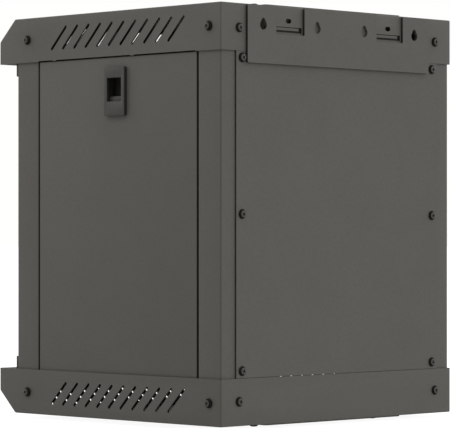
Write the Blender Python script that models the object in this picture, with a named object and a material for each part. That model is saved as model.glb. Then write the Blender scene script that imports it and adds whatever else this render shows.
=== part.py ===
"""Ten-inch, six-unit wall-mount rack cabinet, as a Blender 4.5 model.

Metres, +Z up, front towards -Y. The origin lies on the floor under the middle of the whole
cabinet. Pieces are drawn in shell coordinates, whose origin is under the middle of the bottom
cap, and the empty "shell_origin" carries them to their place.
"""
import math

import bmesh
import bpy
from mathutils import Matrix, Vector

# ---- driving dimensions -------------------------------------------------------------------
WIDTH = 0.3026           # over the side flanges of the caps
DEPTH = 0.300            # from the front lip of the caps to their rear flange
HEIGHT = 0.370           # over the caps
SHEET = 0.0015           # steel of caps, posts, rails and bars
THIN_SHEET = 0.0012      # steel of the panels
PLATE = 0.0022           # steel of the wall bracket
GAP = 0.0003             # clearance between pieces that rest on each other
HEAD_GAP = 0.0002        # clearance under a screw head

CAP_FLANGE = 0.0401      # height of the caps' skirts
EAR_DEPTH = 0.0243       # how far the caps stand in front of the posts
CHAMFER_DEPTH = 0.022    # sloped front corner of the caps
CHAMFER_HEIGHT = 0.0205
FRONT_FACE = 0.0300      # width of a front post as seen from the side
REAR_FACE = 0.0285       # width of a rear post as seen from the side
POST_RETURN = 0.0109     # folded return that stiffens a post
FRONT_LEG = 0.0197       # width of a front post as seen from the front
REAR_LEG = 0.0282        # width of a rear post as seen from the back

PANEL_FRONT, PANEL_BACK = -0.0935, 0.1179
PANEL_LOW, PANEL_HIGH = 0.0409, 0.3281
PANEL_FOLD = 0.010
FLANGE_RELIEF = 0.0007   # finger gap over a side panel
RELIEF_TABS = (-0.0714, 0.0357)
RELIEF_TAB_WIDTH = 0.005

BACK_HALF = 0.1322
BACK_LOW, BACK_HIGH = 0.0419, 0.3292

BRACKET_HALF = 0.119
BRACKET_LOW, BRACKET_HIGH = 0.3182, 0.3694
BRACKET_SHIFT = 0.0018   # the bracket and the hooks' slots stand this much off the middle
NOTCH_CENTRE, NOTCH_HALF, NOTCH_LOW = 0.0655, 0.018, 0.345
KEYHOLES = (0.0995, 0.031)
KEYHOLE_ROUND, KEYHOLE_SLOT = 0.0043, 0.0026
KEYHOLE_LOW, KEYHOLE_HIGH = 0.3521, 0.3558

VENT_COUNT, VENT_PITCH, VENT_WIDTH = 11, 0.0158, 0.0027
VENT_RISE = 0.0205       # height and depth that one slanted slot covers
VENT_INSET = 0.0207
VENT_CENTRES = {"left": 0.0098, "right": 0.0142}
FRONT_VENTS, FRONT_VENT_PITCH, FRONT_VENT_WIDTH = 23, 0.010, 0.0034
FRONT_VENT_START, FRONT_VENT_END = 0.13, 0.85    # as parts of the slope
FAN_VENTS, FAN_VENT_PITCH, FAN_VENT_WIDTH, FAN_VENT_LENGTH = 9, 0.012, 0.004, 0.090
FAN_Y = 0.011

COVER_HALF, COVER_DEPTH, COVER_THICK = 0.089, 0.052, 0.0013
REAR_COVER_Y, FRONT_COVER_Y = 0.117, -0.095
ENTRY_HALF_X, ENTRY_HALF_Y = 0.068, 0.017
COVER_SCREW_X = 0.078

SIDE_SCREW_Y = (-0.1091, 0.1352)
SIDE_SCREW_INSET = 0.0204
REAR_SCREW_X, REAR_SCREW_INSET = 0.129, 0.0215
BACK_SCREW_X, BACK_SCREW_Z = 0.125, (0.0481, 0.1855, 0.3225)
SCREW_HEAD, SCREW_SHANK, SCREW_HOLE, SHANK_LENGTH = 0.0044, 0.0019, 0.0024, 0.008
HEAD_THICK, SIDE_HEAD_THICK, COVER_HEAD_THICK = 0.0023, 0.0034, 0.0026

LATCH_Y, LATCH_LOW, LATCH_HIGH = 0.0135, 0.2749, 0.3191
LATCH_HALF, LATCH_PROUD, LATCH_INNER_X = 0.01365, 0.0035, 0.1358
WINDOW_HALF, WINDOW_LOW, WINDOW_HIGH = 0.0095, 0.2879, 0.3093
POCKET_HALF, POCKET_LOW, POCKET_HIGH, POCKET_WALL = 0.0103, 0.2793, 0.3143, 0.0013
SLIDER_HALF, SLIDER_LOW, SLIDER_TAB, SLIDER_TOP = 0.0099, 0.2860, 0.2926, 0.3135
BOLT_HALF, BOLT_BACK_X, BOLT_TOP = 0.006, 0.1403, 0.3302
BOLT_THICK = 0.0025

RAIL_INNER_X, RAIL_OUTER_X = 0.1111, 0.1292   # half of the 222 mm opening; side leg's face
RAIL_FACE_Y, RAIL_LEG = -0.0995, 0.028
RAIL_LOW, RAIL_HIGH = 0.0435, 0.3265
UNIT, UNITS = 0.04445, 6
UNIT_HOLES = (0.00635, 0.022225, 0.0381)
HOLE_X, HOLE_HALF = 0.11826, 0.00475
BAR_HEIGHT, BAR_LIP, BAR_FOOT = 0.020, 0.0075, 0.0145
BAR_LOWS = {"lower": 0.0460, "upper": 0.3135}
BAR_SLOTS, BAR_SLOT_PITCH, BAR_SLOT_LENGTH, BAR_SLOT_WIDTH = 3, 0.080, 0.058, 0.0065

GLASS_HALF, GLASS_LOW, GLASS_HIGH = 0.1385, 0.0451, 0.3249
GLASS_FRONT, GLASS_THICK = -0.1363, 0.004
HINGE_X, HINGE_Y = 0.1352, -0.1343
CLAMP_INNER_X, CLAMP_OUTER_X, CLAMP_HALF_THICK, CLAMP_ROUND = 0.113, 0.1408, 0.0045, 0.0015
CLAMP_TALL = 0.0125
PIN_RADIUS, PIN_HOLE, PIN_COLLAR = 0.0025, 0.0029, 0.0042
LOCK_X, LOCK_Z = -0.118, 0.185
LOCK_BORE, LOCK_BARREL, LOCK_FACE, LOCK_NUT = 0.0054, 0.0078, 0.0125, 0.0105
LOCK_GLASS_HOLE = 0.0083
LOCK_RISE, LOCK_NUT_THICK, CORE_PROUD = 0.006, 0.004, 0.0005
KEYWAY_HALF_WIDTH, KEYWAY_HALF_HEIGHT = 0.0008, 0.0032
CAM_REACH, CAM_HALF, CAM_THICK = 0.026, 0.0045, 0.0020
BUMPER_X, BUMPER_Z, BUMPER_RADIUS = -0.134, (0.115, 0.255), 0.004

STUD_PLACE, STUD_RADIUS, STUD_TALL, STUD_NUT, STUD_NUT_THICK = (0.118, 0.070), 0.003, 0.014, 0.0055, 0.005
HOOK_HALF, HOOK_SHIFT, HOOK_THICK = 0.0145, 0.0013, 0.0026
HOOK_SLOT_HALF, HOOK_SLOT_LOW, HOOK_SLOT_HIGH = 0.0165, 0.3470, 0.3519
HOOK_APRON = 0.0035      # how far a hook's plate reaches past its slot, below and beside it
HOOK_SCREW_Z, HOOK_SCREW_LENGTH, HOOK_SCREW_WIDTH = 0.3573, 0.0068, 0.0042

# ---- worked out from them -----------------------------------------------------------------
SIDE = WIDTH / 2                       # outer face of the caps' side flanges
BACK, FRONT = DEPTH / 2, -DEPTH / 2
POST_X = SIDE - SHEET - GAP            # outer face of the posts
POST_BACK = BACK - SHEET - GAP
POST_FRONT = FRONT + EAR_DEPTH
PANEL_X = POST_X + GAP                 # outer face of the side panels
FLANGE_LOW = HEIGHT - CAP_FLANGE
COVER_SEAT = GAP + COVER_THICK + HEAD_GAP           # cover screws' seat, out from the cap
CAM_FRONT = POST_FRONT + SHEET + 4 * GAP            # the lock's blade turns behind the post
SHELL_PLACE = Vector((0, -(GAP + PLATE) / 2, COVER_SEAT + COVER_HEAD_THICK))
SIDES = {"left": -1, "right": 1}
ROUND_STEPS = 12
HOLE_STEPS = 8


# ---- modelling helpers --------------------------------------------------------------------
def clear_scene():
    for item in list(bpy.data.objects):
        bpy.data.objects.remove(item)


def finish_material(name, colour, roughness, metallic, transmission=0.0):
    material = bpy.data.materials.new(name)
    material.use_nodes = True
    shader = material.node_tree.nodes["Principled BSDF"]
    shader.inputs["Base Color"].default_value = (*colour, 1.0)
    shader.inputs["Roughness"].default_value = roughness
    shader.inputs["Metallic"].default_value = metallic
    shader.inputs["Transmission Weight"].default_value = transmission
    material.diffuse_color = (*colour, 1.0)
    return material


def add_prism(bm, outline, plane, low, high):
    """A closed outline in the two axes of plane, extruded along the third axis."""
    across, up = "xyz".index(plane[0]), "xyz".index(plane[1])
    along = 3 - across - up

    def ring(level):
        corners = []
        for point in outline:
            place = [0.0, 0.0, 0.0]
            place[across], place[up] = point
            place[along] = level
            corners.append(bm.verts.new(place))
        return corners

    start, end = ring(low), ring(high)
    bm.faces.new(start[::-1])
    bm.faces.new(end)
    for index in range(len(outline)):
        bm.faces.new((start[index - 1], start[index], end[index], end[index - 1]))


def add_box(bm, x_range, y_range, z_range):
    (x0, x1), (y0, y1) = x_range, y_range
    add_prism(bm, [(x0, y0), (x1, y0), (x1, y1), (x0, y1)], "xy", *z_range)


def add_turned(bm, profile, place, direction, steps=ROUND_STEPS):
    """A profile of (radius, height) turned about direction, from place."""
    turn = Vector((0, 0, 1)).rotation_difference(Vector(direction)).to_matrix().to_4x4()
    matrix = Matrix.Translation(place) @ turn
    angles = [2 * math.pi * (step + 0.5) / steps for step in range(steps)]
    rings = []
    for radius, height in profile:
        spots = [(radius * math.cos(a), radius * math.sin(a), height) for a in angles]
        if radius == 0:
            spots = [(0, 0, height)]
        rings.append([bm.verts.new(matrix @ Vector(spot)) for spot in spots])
    for lower, upper in zip(rings, rings[1:]):
        for index in range(steps):
            corners = []
            for ring, order in ((lower, (index - 1, index)), (upper, (index, index - 1))):
                picked = [ring[number] for number in order] if len(ring) > 1 else ring
                corners.extend(picked)
            bm.faces.new(corners)


def add_tube(bm, outer, bore, place, direction, steps=ROUND_STEPS):
    """An outer profile from end to end, closed by a straight bore."""
    start, end = outer[0][1], outer[-1][1]
    add_turned(bm, [(bore, start), *outer, (bore, end)], place, direction, steps)
    rims = [edge for edge in bm.edges if edge.is_boundary]
    bmesh.ops.bridge_loops(bm, edges=rims)


def circle(centre, radius, steps=HOLE_STEPS):
    angles = [2 * math.pi * (step + 0.5) / steps for step in range(steps)]
    return [(centre[0] + radius * math.cos(a), centre[1] + radius * math.sin(a)) for a in angles]


def slot(centre, length, width, angle=0.0, end_steps=3):
    """A slot's outline with rounded ends, turned by angle from the first axis."""
    radius, reach = width / 2, (length - width) / 2
    outline = []
    for end in (1, -1):
        for step in range(end_steps + 1):
            turn = -math.pi / 2 + math.pi * step / end_steps
            outline.append((end * (reach + radius * math.cos(turn)), end * radius * math.sin(turn)))
    cos, sin = math.cos(angle), math.sin(angle)
    return [(centre[0] + x * cos - y * sin, centre[1] + x * sin + y * cos) for x, y in outline]


def mirrored(outline, side):
    return [(x * side, y) for x, y in outline]


def make(name, bm, material, origin=(0, 0, 0)):
    """An object of one closed mesh, its origin moved to the given place."""
    origin = Vector(origin)
    bmesh.ops.translate(bm, vec=-origin, verts=bm.verts)
    bmesh.ops.recalc_face_normals(bm, faces=bm.faces)
    mesh = bpy.data.meshes.new(name)
    bm.to_mesh(mesh)
    bm.free()
    mesh.materials.append(material)
    item = bpy.data.objects.new(name, mesh)
    item.location = origin
    bpy.context.collection.objects.link(item)
    return item


def carve(item, tools, operation="DIFFERENCE"):
    """Cut the solids in tools from an object, or join them to it."""
    cutter = make("cutter", tools, item.data.materials[0])
    modifier = item.modifiers.new("Boolean", "BOOLEAN")
    modifier.operation = operation
    modifier.solver = "EXACT"
    modifier.object = cutter
    shaped = item.evaluated_get(bpy.context.evaluated_depsgraph_get())
    item.data = bpy.data.meshes.new_from_object(shaped)
    item.data.name = item.name
    item.modifiers.clear()
    bpy.data.objects.remove(cutter)


def round_shading(item):
    item.data.shade_smooth()
    item.data.set_sharp_from_angle(angle=math.radians(35))


# ---- caps ---------------------------------------------------------------------------------
def cap_corners(inset):
    """Side view of a top cap as front, chamfer's low and back ends, top and back; the inset moves
    every face inwards by the same distance."""
    slope = math.hypot(CHAMFER_DEPTH, CHAMFER_HEIGHT)
    chamfer_low = HEIGHT - CHAMFER_HEIGHT - inset * (slope - CHAMFER_HEIGHT) / CHAMFER_DEPTH
    chamfer_back = FRONT + CHAMFER_DEPTH + inset * (slope - CHAMFER_DEPTH) / CHAMFER_HEIGHT
    return FRONT + inset, chamfer_low, chamfer_back, HEIGHT - inset, BACK - inset


def cap_body(name, material):
    """A folded tray with a sloped front and a lip that closes the ears from below."""
    front, chamfer_low, chamfer_back, high, back = cap_corners(0)
    outer = [(front, FLANGE_LOW), (front, chamfer_low), (chamfer_back, high), (back, high),
             (back, FLANGE_LOW)]
    bm = bmesh.new()
    add_prism(bm, outer, "yz", -SIDE, SIDE)
    item = make(name, bm, material)
    front, chamfer_low, chamfer_back, high, back = cap_corners(SHEET)
    below, lip, lip_back = FLANGE_LOW - SHEET, FLANGE_LOW + SHEET, POST_FRONT - 2 * GAP
    hollow = [(back, below), (back, high), (chamfer_back, high), (front, chamfer_low),
              (front, lip), (lip_back, lip), (lip_back, below)]
    tools = bmesh.new()
    add_prism(tools, hollow, "yz", -SIDE + SHEET, SIDE - SHEET)
    carve(item, tools)
    return item


def side_vent_tools(tools, slant):
    """Slanted slots through both skirts, which lean the same way when seen from outside."""
    length = math.hypot(VENT_RISE, VENT_RISE) + VENT_WIDTH / 2
    for name, side in SIDES.items():
        for number in range(VENT_COUNT):
            y = VENT_CENTRES[name] + (number - (VENT_COUNT - 1) / 2) * VENT_PITCH
            outline = slot((y, HEIGHT - VENT_INSET), length, VENT_WIDTH, side * slant * math.pi / 4)
            add_prism(tools, outline, "yz", *sorted((side * (SIDE - 2 * SHEET), side * (SIDE + SHEET))))


def vent_tools(tools):
    """Straight slots in the slope, and slots under the fan."""
    slope = Vector((CHAMFER_DEPTH, CHAMFER_HEIGHT))
    start = Vector((FRONT, HEIGHT - CHAMFER_HEIGHT))
    across = Vector((-slope.y, slope.x)).normalized() * 2 * SHEET
    low, high = start + slope * FRONT_VENT_START, start + slope * FRONT_VENT_END
    outline = [low - across, low + across, high + across, high - across]
    for number in range(FRONT_VENTS):
        x = (number - (FRONT_VENTS - 1) / 2) * FRONT_VENT_PITCH
        half = FRONT_VENT_WIDTH / 2
        add_prism(tools, outline, "yz", x - half, x + half)
    for number in range(FAN_VENTS):
        x = (number - (FAN_VENTS - 1) / 2) * FAN_VENT_PITCH
        outline = slot((x, FAN_Y), FAN_VENT_LENGTH, FAN_VENT_WIDTH, math.pi / 2)
        add_prism(tools, outline, "xy", HEIGHT - 2 * SHEET, HEIGHT + SHEET)


def cap_hole_tools(tools, cover_places):
    """Clearance holes for the corner screws and hinge pin, and the covered cable entries."""
    for y in SIDE_SCREW_Y:
        outline = circle((y, HEIGHT - SIDE_SCREW_INSET), SCREW_HOLE)
        add_prism(tools, outline, "yz", -SIDE - SHEET, SIDE + SHEET)
    for side in SIDES.values():
        outline = circle((side * REAR_SCREW_X, HEIGHT - REAR_SCREW_INSET), SCREW_HOLE)
        add_prism(tools, outline, "xz", BACK - 2 * SHEET, BACK + SHEET)
    add_prism(tools, circle((HINGE_X, HINGE_Y), PIN_HOLE), "xy", FLANGE_LOW - SHEET,
              FLANGE_LOW + 2 * SHEET)
    for y in cover_places:
        through = (HEIGHT - 2 * SHEET, HEIGHT + SHEET)
        add_box(tools, (-ENTRY_HALF_X, ENTRY_HALF_X), (y - ENTRY_HALF_Y, y + ENTRY_HALF_Y), through)
        for side in SIDES.values():
            add_prism(tools, circle((side * COVER_SCREW_X, y), SCREW_HOLE), "xy", *through)


def top_cap(material):
    item = cap_body("top_cap", material)
    for side in SIDES.values():
        tabs = bmesh.new()
        for y in RELIEF_TABS:
            add_box(tabs, sorted((side * (SIDE - SHEET), side * SIDE)),
                    (y - RELIEF_TAB_WIDTH / 2, y + RELIEF_TAB_WIDTH / 2),
                    (PANEL_HIGH + GAP, FLANGE_LOW + SHEET))
        carve(item, tabs, "UNION")
    tools = bmesh.new()
    side_vent_tools(tools, 1)
    vent_tools(tools)
    cap_hole_tools(tools, (REAR_COVER_Y,))
    edges = [PANEL_FRONT]
    for tab in RELIEF_TABS:
        edges += [tab - RELIEF_TAB_WIDTH / 2, tab + RELIEF_TAB_WIDTH / 2]
    edges.append(PANEL_BACK)
    for start, end in zip(edges[::2], edges[1::2]):
        add_box(tools, (-SIDE - SHEET, SIDE + SHEET), (start, end),
                (FLANGE_LOW - SHEET, FLANGE_LOW + FLANGE_RELIEF))
    through = (BACK - 2 * SHEET, BACK + SHEET)
    for side in SIDES.values():
        centre = side * NOTCH_CENTRE + BRACKET_SHIFT
        add_box(tools, (centre - HOOK_SLOT_HALF, centre + HOOK_SLOT_HALF), through,
                (HOOK_SLOT_LOW, HOOK_SLOT_HIGH))
        outline = slot((centre, HOOK_SCREW_Z), HOOK_SCREW_LENGTH, HOOK_SCREW_WIDTH)
        add_prism(tools, outline, "xz", *through)
        keyhole_x = side * KEYHOLES[0] + BRACKET_SHIFT
        outline = circle((keyhole_x, (KEYHOLE_LOW + KEYHOLE_HIGH) / 2), 2 * KEYHOLE_ROUND)
        add_prism(tools, outline, "xz", *through)
    carve(item, tools)
    return item


def bottom_cap(material):
    """The same tray turned over: drawn as a top cap, then mirrored about the middle height."""
    item = cap_body("bottom_cap", material)
    tools = bmesh.new()
    side_vent_tools(tools, -1)
    vent_tools(tools)
    cap_hole_tools(tools, (REAR_COVER_Y, FRONT_COVER_Y))
    carve(item, tools)
    turn_over(item)
    return item


def turn_over(item):
    """Mirror an object's mesh about the middle height of the shell."""
    bm = bmesh.new()
    bm.from_mesh(item.data)
    for vertex in bm.verts:
        vertex.co.z = HEIGHT - vertex.co.z
    bmesh.ops.reverse_faces(bm, faces=bm.faces)
    bm.to_mesh(item.data)
    bm.free()


# ---- frame --------------------------------------------------------------------------------
def post(name, side, rear, material):
    """A folded corner post: side leg, face leg and a short stiffening return."""
    face = POST_BACK if rear else POST_FRONT
    inward = -1 if rear else 1
    leg = REAR_LEG if rear else FRONT_LEG
    end = face + inward * (REAR_FACE if rear else FRONT_FACE)
    outline = [
        (POST_X - leg, face), (POST_X, face), (POST_X, end), (POST_X - POST_RETURN, end),
        (POST_X - POST_RETURN, end - inward * SHEET), (POST_X - SHEET, end - inward * SHEET),
        (POST_X - SHEET, face + inward * SHEET), (POST_X - leg, face + inward * SHEET)]
    foot = SHEET + GAP
    bm = bmesh.new()
    add_prism(bm, mirrored(outline, side), "xy", foot, HEIGHT - foot)
    item = make(name, bm, material)
    tools = bmesh.new()
    x_range = sorted((side * (POST_X - 2 * SHEET), side * (POST_X + SHEET)))
    for height in (SIDE_SCREW_INSET, HEIGHT - SIDE_SCREW_INSET):
        hole = circle((SIDE_SCREW_Y[1 if rear else 0], height), SCREW_HOLE)
        add_prism(tools, hole, "yz", *x_range)
    if rear:
        spots = [(REAR_SCREW_X, REAR_SCREW_INSET), (REAR_SCREW_X, HEIGHT - REAR_SCREW_INSET)]
        spots += [(BACK_SCREW_X, height) for height in BACK_SCREW_Z]
        for x, height in spots:
            hole = circle((side * x, height), SCREW_HOLE)
            add_prism(tools, hole, "xz", POST_BACK - 2 * SHEET, POST_BACK + SHEET)
    carve(item, tools)
    return item


def rack_rail(name, side, material):
    """An L of steel with three square holes in every unit of height."""
    outline = [(RAIL_INNER_X, RAIL_FACE_Y), (RAIL_OUTER_X, RAIL_FACE_Y),
               (RAIL_OUTER_X, RAIL_FACE_Y + RAIL_LEG), (RAIL_OUTER_X - SHEET, RAIL_FACE_Y + RAIL_LEG),
               (RAIL_OUTER_X - SHEET, RAIL_FACE_Y + SHEET), (RAIL_INNER_X, RAIL_FACE_Y + SHEET)]
    bm = bmesh.new()
    add_prism(bm, mirrored(outline, side), "xy", RAIL_LOW, RAIL_HIGH)
    item = make(name, bm, material)
    tools = bmesh.new()
    first_unit = HEIGHT / 2 - UNITS * UNIT / 2
    x_range = sorted((side * (HOLE_X - HOLE_HALF), side * (HOLE_X + HOLE_HALF)))
    for unit in range(UNITS):
        for hole in UNIT_HOLES:
            z = first_unit + unit * UNIT + hole
            add_box(tools, x_range, (RAIL_FACE_Y - SHEET, RAIL_FACE_Y + 2 * SHEET),
                    (z - HOLE_HALF, z + HOLE_HALF))
    carve(item, tools)
    return item


def rail_bar(name, side, low, material):
    """A depth bar between the front and the rear post, slotted so that the rail can move."""
    web = RAIL_OUTER_X + GAP
    front, back = POST_FRONT + SHEET + GAP, POST_BACK - SHEET - GAP
    outline = [(web, front), (web + BAR_FOOT, front), (web + BAR_FOOT, front + SHEET),
               (web + SHEET, front + SHEET), (web + SHEET, back - SHEET),
               (web + BAR_FOOT, back - SHEET), (web + BAR_FOOT, back), (web, back)]
    bm = bmesh.new()
    add_prism(bm, mirrored(outline, side), "xy", low, low + BAR_HEIGHT)
    item = make(name, bm, material)
    lip = bmesh.new()
    x_range = sorted((side * (web + SHEET / 2), side * (web + BAR_LIP)))
    add_box(lip, x_range, (front + BAR_FOOT, back - BAR_FOOT),
            (low + BAR_HEIGHT - SHEET, low + BAR_HEIGHT - SHEET / 100))
    carve(item, lip, "UNION")
    tools = bmesh.new()
    x_range = sorted((side * (web - SHEET), side * (web + 2 * SHEET)))
    for number in range(BAR_SLOTS):
        y = FAN_Y + (number - (BAR_SLOTS - 1) / 2) * BAR_SLOT_PITCH
        outline = slot((y, low + BAR_HEIGHT / 2), BAR_SLOT_LENGTH, BAR_SLOT_WIDTH)
        add_prism(tools, outline, "yz", *x_range)
    carve(item, tools)
    return item


# ---- panels and covers --------------------------------------------------------------------
def side_panel(name, side, material):
    """A shallow tray with a cut-out for the latch and a slot for its bolt."""
    bm = bmesh.new()
    add_box(bm, sorted((side * (PANEL_X - PANEL_FOLD), side * PANEL_X)),
            (PANEL_FRONT, PANEL_BACK), (PANEL_LOW, PANEL_HIGH))
    item = make(name, bm, material)
    tools = bmesh.new()
    inner = sorted((side * (PANEL_X - 2 * PANEL_FOLD), side * (PANEL_X - THIN_SHEET)))
    add_box(tools, inner, (PANEL_FRONT + THIN_SHEET, PANEL_BACK - THIN_SHEET),
            (PANEL_LOW + THIN_SHEET, PANEL_HIGH - THIN_SHEET))
    carve(item, tools)
    tools = bmesh.new()
    around = POCKET_WALL + GAP
    add_box(tools, sorted((side * (PANEL_X - PANEL_FOLD / 2), side * (PANEL_X + SHEET))),
            (LATCH_Y - POCKET_HALF - around, LATCH_Y + POCKET_HALF + around),
            (POCKET_LOW - around, POCKET_HIGH + around))
    add_box(tools, sorted((side * (BOLT_BACK_X - 2 * GAP), side * (BOLT_BACK_X + BOLT_THICK + 2 * GAP))),
            (LATCH_Y - BOLT_HALF - 2 * GAP, LATCH_Y + BOLT_HALF + 2 * GAP),
            (PANEL_HIGH - 2 * THIN_SHEET, PANEL_HIGH + THIN_SHEET))
    carve(item, tools)
    return item


def latch_housing(name, side, material):
    """A bezel on the panel and, behind it, a pocket that guides the slider."""
    face = PANEL_X + GAP
    bm = bmesh.new()
    add_box(bm, sorted((side * face, side * (PANEL_X + LATCH_PROUD))),
            (LATCH_Y - LATCH_HALF, LATCH_Y + LATCH_HALF), (LATCH_LOW, LATCH_HIGH))
    item = make(name, bm, material)
    sleeve = bmesh.new()
    half = POCKET_HALF + POCKET_WALL
    add_box(sleeve, sorted((side * LATCH_INNER_X, side * (face + 2 * GAP))),
            (LATCH_Y - half, LATCH_Y + half), (POCKET_LOW - POCKET_WALL, POCKET_HIGH + POCKET_WALL))
    carve(item, sleeve, "UNION")
    tools = bmesh.new()
    add_box(tools, sorted((side * (LATCH_INNER_X - SHEET), side * face)),
            (LATCH_Y - POCKET_HALF, LATCH_Y + POCKET_HALF), (POCKET_LOW, POCKET_HIGH))
    carve(item, tools)
    tools = bmesh.new()
    add_box(tools, sorted((side * (face - SHEET), side * (face + 2 * LATCH_PROUD))),
            (LATCH_Y - WINDOW_HALF, LATCH_Y + WINDOW_HALF), (WINDOW_LOW, WINDOW_HIGH))
    add_box(tools, sorted((side * (BOLT_BACK_X - 2 * GAP), side * (BOLT_BACK_X + BOLT_THICK + 2 * GAP))),
            (LATCH_Y - BOLT_HALF - 2 * GAP, LATCH_Y + BOLT_HALF + 2 * GAP),
            (POCKET_HIGH - SHEET, POCKET_HIGH + 2 * POCKET_WALL))
    carve(item, tools)
    return item


def latch_slider(name, side, material):
    """The finger ledge seen in the window, the wall behind it and the bolt on top."""
    outer = PANEL_X
    ledge = [(BOLT_BACK_X, SLIDER_TAB - BOLT_THICK), (outer - BOLT_THICK, SLIDER_TAB - BOLT_THICK),
             (outer - BOLT_THICK, SLIDER_LOW), (outer, SLIDER_LOW), (outer, SLIDER_TAB),
             (BOLT_BACK_X + BOLT_THICK, SLIDER_TAB), (BOLT_BACK_X + BOLT_THICK, SLIDER_TOP),
             (BOLT_BACK_X, SLIDER_TOP)]
    bm = bmesh.new()
    add_prism(bm, mirrored(ledge, side), "xz", LATCH_Y - SLIDER_HALF, LATCH_Y + SLIDER_HALF)
    item = make(name, bm, material)
    bolt = bmesh.new()
    add_box(bolt, sorted((side * BOLT_BACK_X, side * (BOLT_BACK_X + BOLT_THICK))),
            (LATCH_Y - BOLT_HALF, LATCH_Y + BOLT_HALF), (SLIDER_TOP - BOLT_THICK, BOLT_TOP))
    carve(item, bolt, "UNION")
    return item


def back_panel(material):
    bm = bmesh.new()
    low = POST_BACK + GAP
    add_box(bm, (-BACK_HALF, BACK_HALF), (low, low + THIN_SHEET), (BACK_LOW, BACK_HIGH))
    item = make("back_panel", bm, material)
    tools = bmesh.new()
    for side in SIDES.values():
        for z in BACK_SCREW_Z:
            add_prism(tools, circle((side * BACK_SCREW_X, z), SCREW_HOLE), "xz",
                      low - SHEET, low + 2 * SHEET)
    carve(item, tools)
    return item


def wall_bracket(material):
    """The plate that is screwed to the wall, with keyholes and two notches for the hooks."""
    low = BACK + GAP
    outline = [(-BRACKET_HALF, BRACKET_LOW), (BRACKET_HALF, BRACKET_LOW), (BRACKET_HALF, BRACKET_HIGH)]
    for side in (1, -1):
        right, left = side * NOTCH_CENTRE + NOTCH_HALF, side * NOTCH_CENTRE - NOTCH_HALF
        outline += [(right, BRACKET_HIGH), (right, NOTCH_LOW), (left, NOTCH_LOW), (left, BRACKET_HIGH)]
    outline.append((-BRACKET_HALF, BRACKET_HIGH))
    outline = [(x + BRACKET_SHIFT, z) for x, z in outline]
    bm = bmesh.new()
    add_prism(bm, outline, "xz", low, low + PLATE)
    item = make("wall_bracket", bm, material)
    tools = bmesh.new()
    for side in SIDES.values():
        for x in KEYHOLES:
            add_prism(tools, keyhole(side * x + BRACKET_SHIFT), "xz", low - SHEET, low + 2 * PLATE)
    carve(item, tools)
    return item


def keyhole(x):
    """A round hole for a screw head with a narrower slot above it."""
    start = math.acos(KEYHOLE_SLOT / KEYHOLE_ROUND)
    outline = []
    for step in range(HOLE_STEPS + 1):
        angle = math.pi - start + (math.pi + 2 * start) * step / HOLE_STEPS
        outline.append((x + KEYHOLE_ROUND * math.cos(angle), KEYHOLE_LOW + KEYHOLE_ROUND * math.sin(angle)))
    for step in range(4):
        angle = math.pi * step / 3
        outline.append((x + KEYHOLE_SLOT * math.cos(angle), KEYHOLE_HIGH + KEYHOLE_SLOT * math.sin(angle)))
    return outline


def wall_hook(name, side, material):
    """A plate inside the top cap whose tongue fills the slot in the rear flange."""
    inner = BACK - SHEET - GAP
    low = (HOOK_SLOT_LOW + HOOK_SLOT_HIGH - HOOK_THICK) / 2 + 2 * GAP
    slot_x = side * NOTCH_CENTRE + BRACKET_SHIFT
    half, centre = HOOK_SLOT_HALF + HOOK_APRON, slot_x + HOOK_SHIFT
    bm = bmesh.new()
    add_box(bm, (slot_x - half, slot_x + half), (inner - SHEET, inner),
            (HOOK_SLOT_LOW - HOOK_APRON, HEIGHT - SHEET - 2 * GAP))
    item = make(name, bm, material)
    tongue = bmesh.new()
    add_box(tongue, (centre - HOOK_HALF, centre + HOOK_HALF), (inner - SHEET / 2, BACK - GAP),
            (low, low + HOOK_THICK))
    carve(item, tongue, "UNION")
    tools = bmesh.new()
    outline = slot((slot_x, HOOK_SCREW_Z), HOOK_SCREW_LENGTH, HOOK_SCREW_WIDTH)
    add_prism(tools, outline, "xz", inner - 2 * SHEET, inner + SHEET)
    carve(item, tools)
    return item


def cable_cover(name, y, top, material):
    """A blanking plate over a cable entry."""
    low = HEIGHT + GAP
    bm = bmesh.new()
    add_box(bm, (-COVER_HALF, COVER_HALF), (y - COVER_DEPTH / 2, y + COVER_DEPTH / 2),
            (low, low + COVER_THICK))
    item = make(name, bm, material)
    tools = bmesh.new()
    for side in SIDES.values():
        add_prism(tools, circle((side * COVER_SCREW_X, y), SCREW_HOLE), "xy",
                  low - SHEET, low + 2 * COVER_THICK)
    carve(item, tools)
    if not top:
        turn_over(item)
    return item


# ---- door ---------------------------------------------------------------------------------
def glass_door(material):
    bm = bmesh.new()
    add_box(bm, (-GLASS_HALF, GLASS_HALF), (GLASS_FRONT, GLASS_FRONT + GLASS_THICK),
            (GLASS_LOW, GLASS_HIGH))
    item = make("glass_door", bm, material, (HINGE_X, HINGE_Y, 0))
    tools = bmesh.new()
    hole = circle((LOCK_X, LOCK_Z), LOCK_GLASS_HOLE, ROUND_STEPS)
    add_prism(tools, hole, "xz", GLASS_FRONT - SHEET, GLASS_FRONT + GLASS_THICK + SHEET)
    carve(item, tools)
    return item


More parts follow.
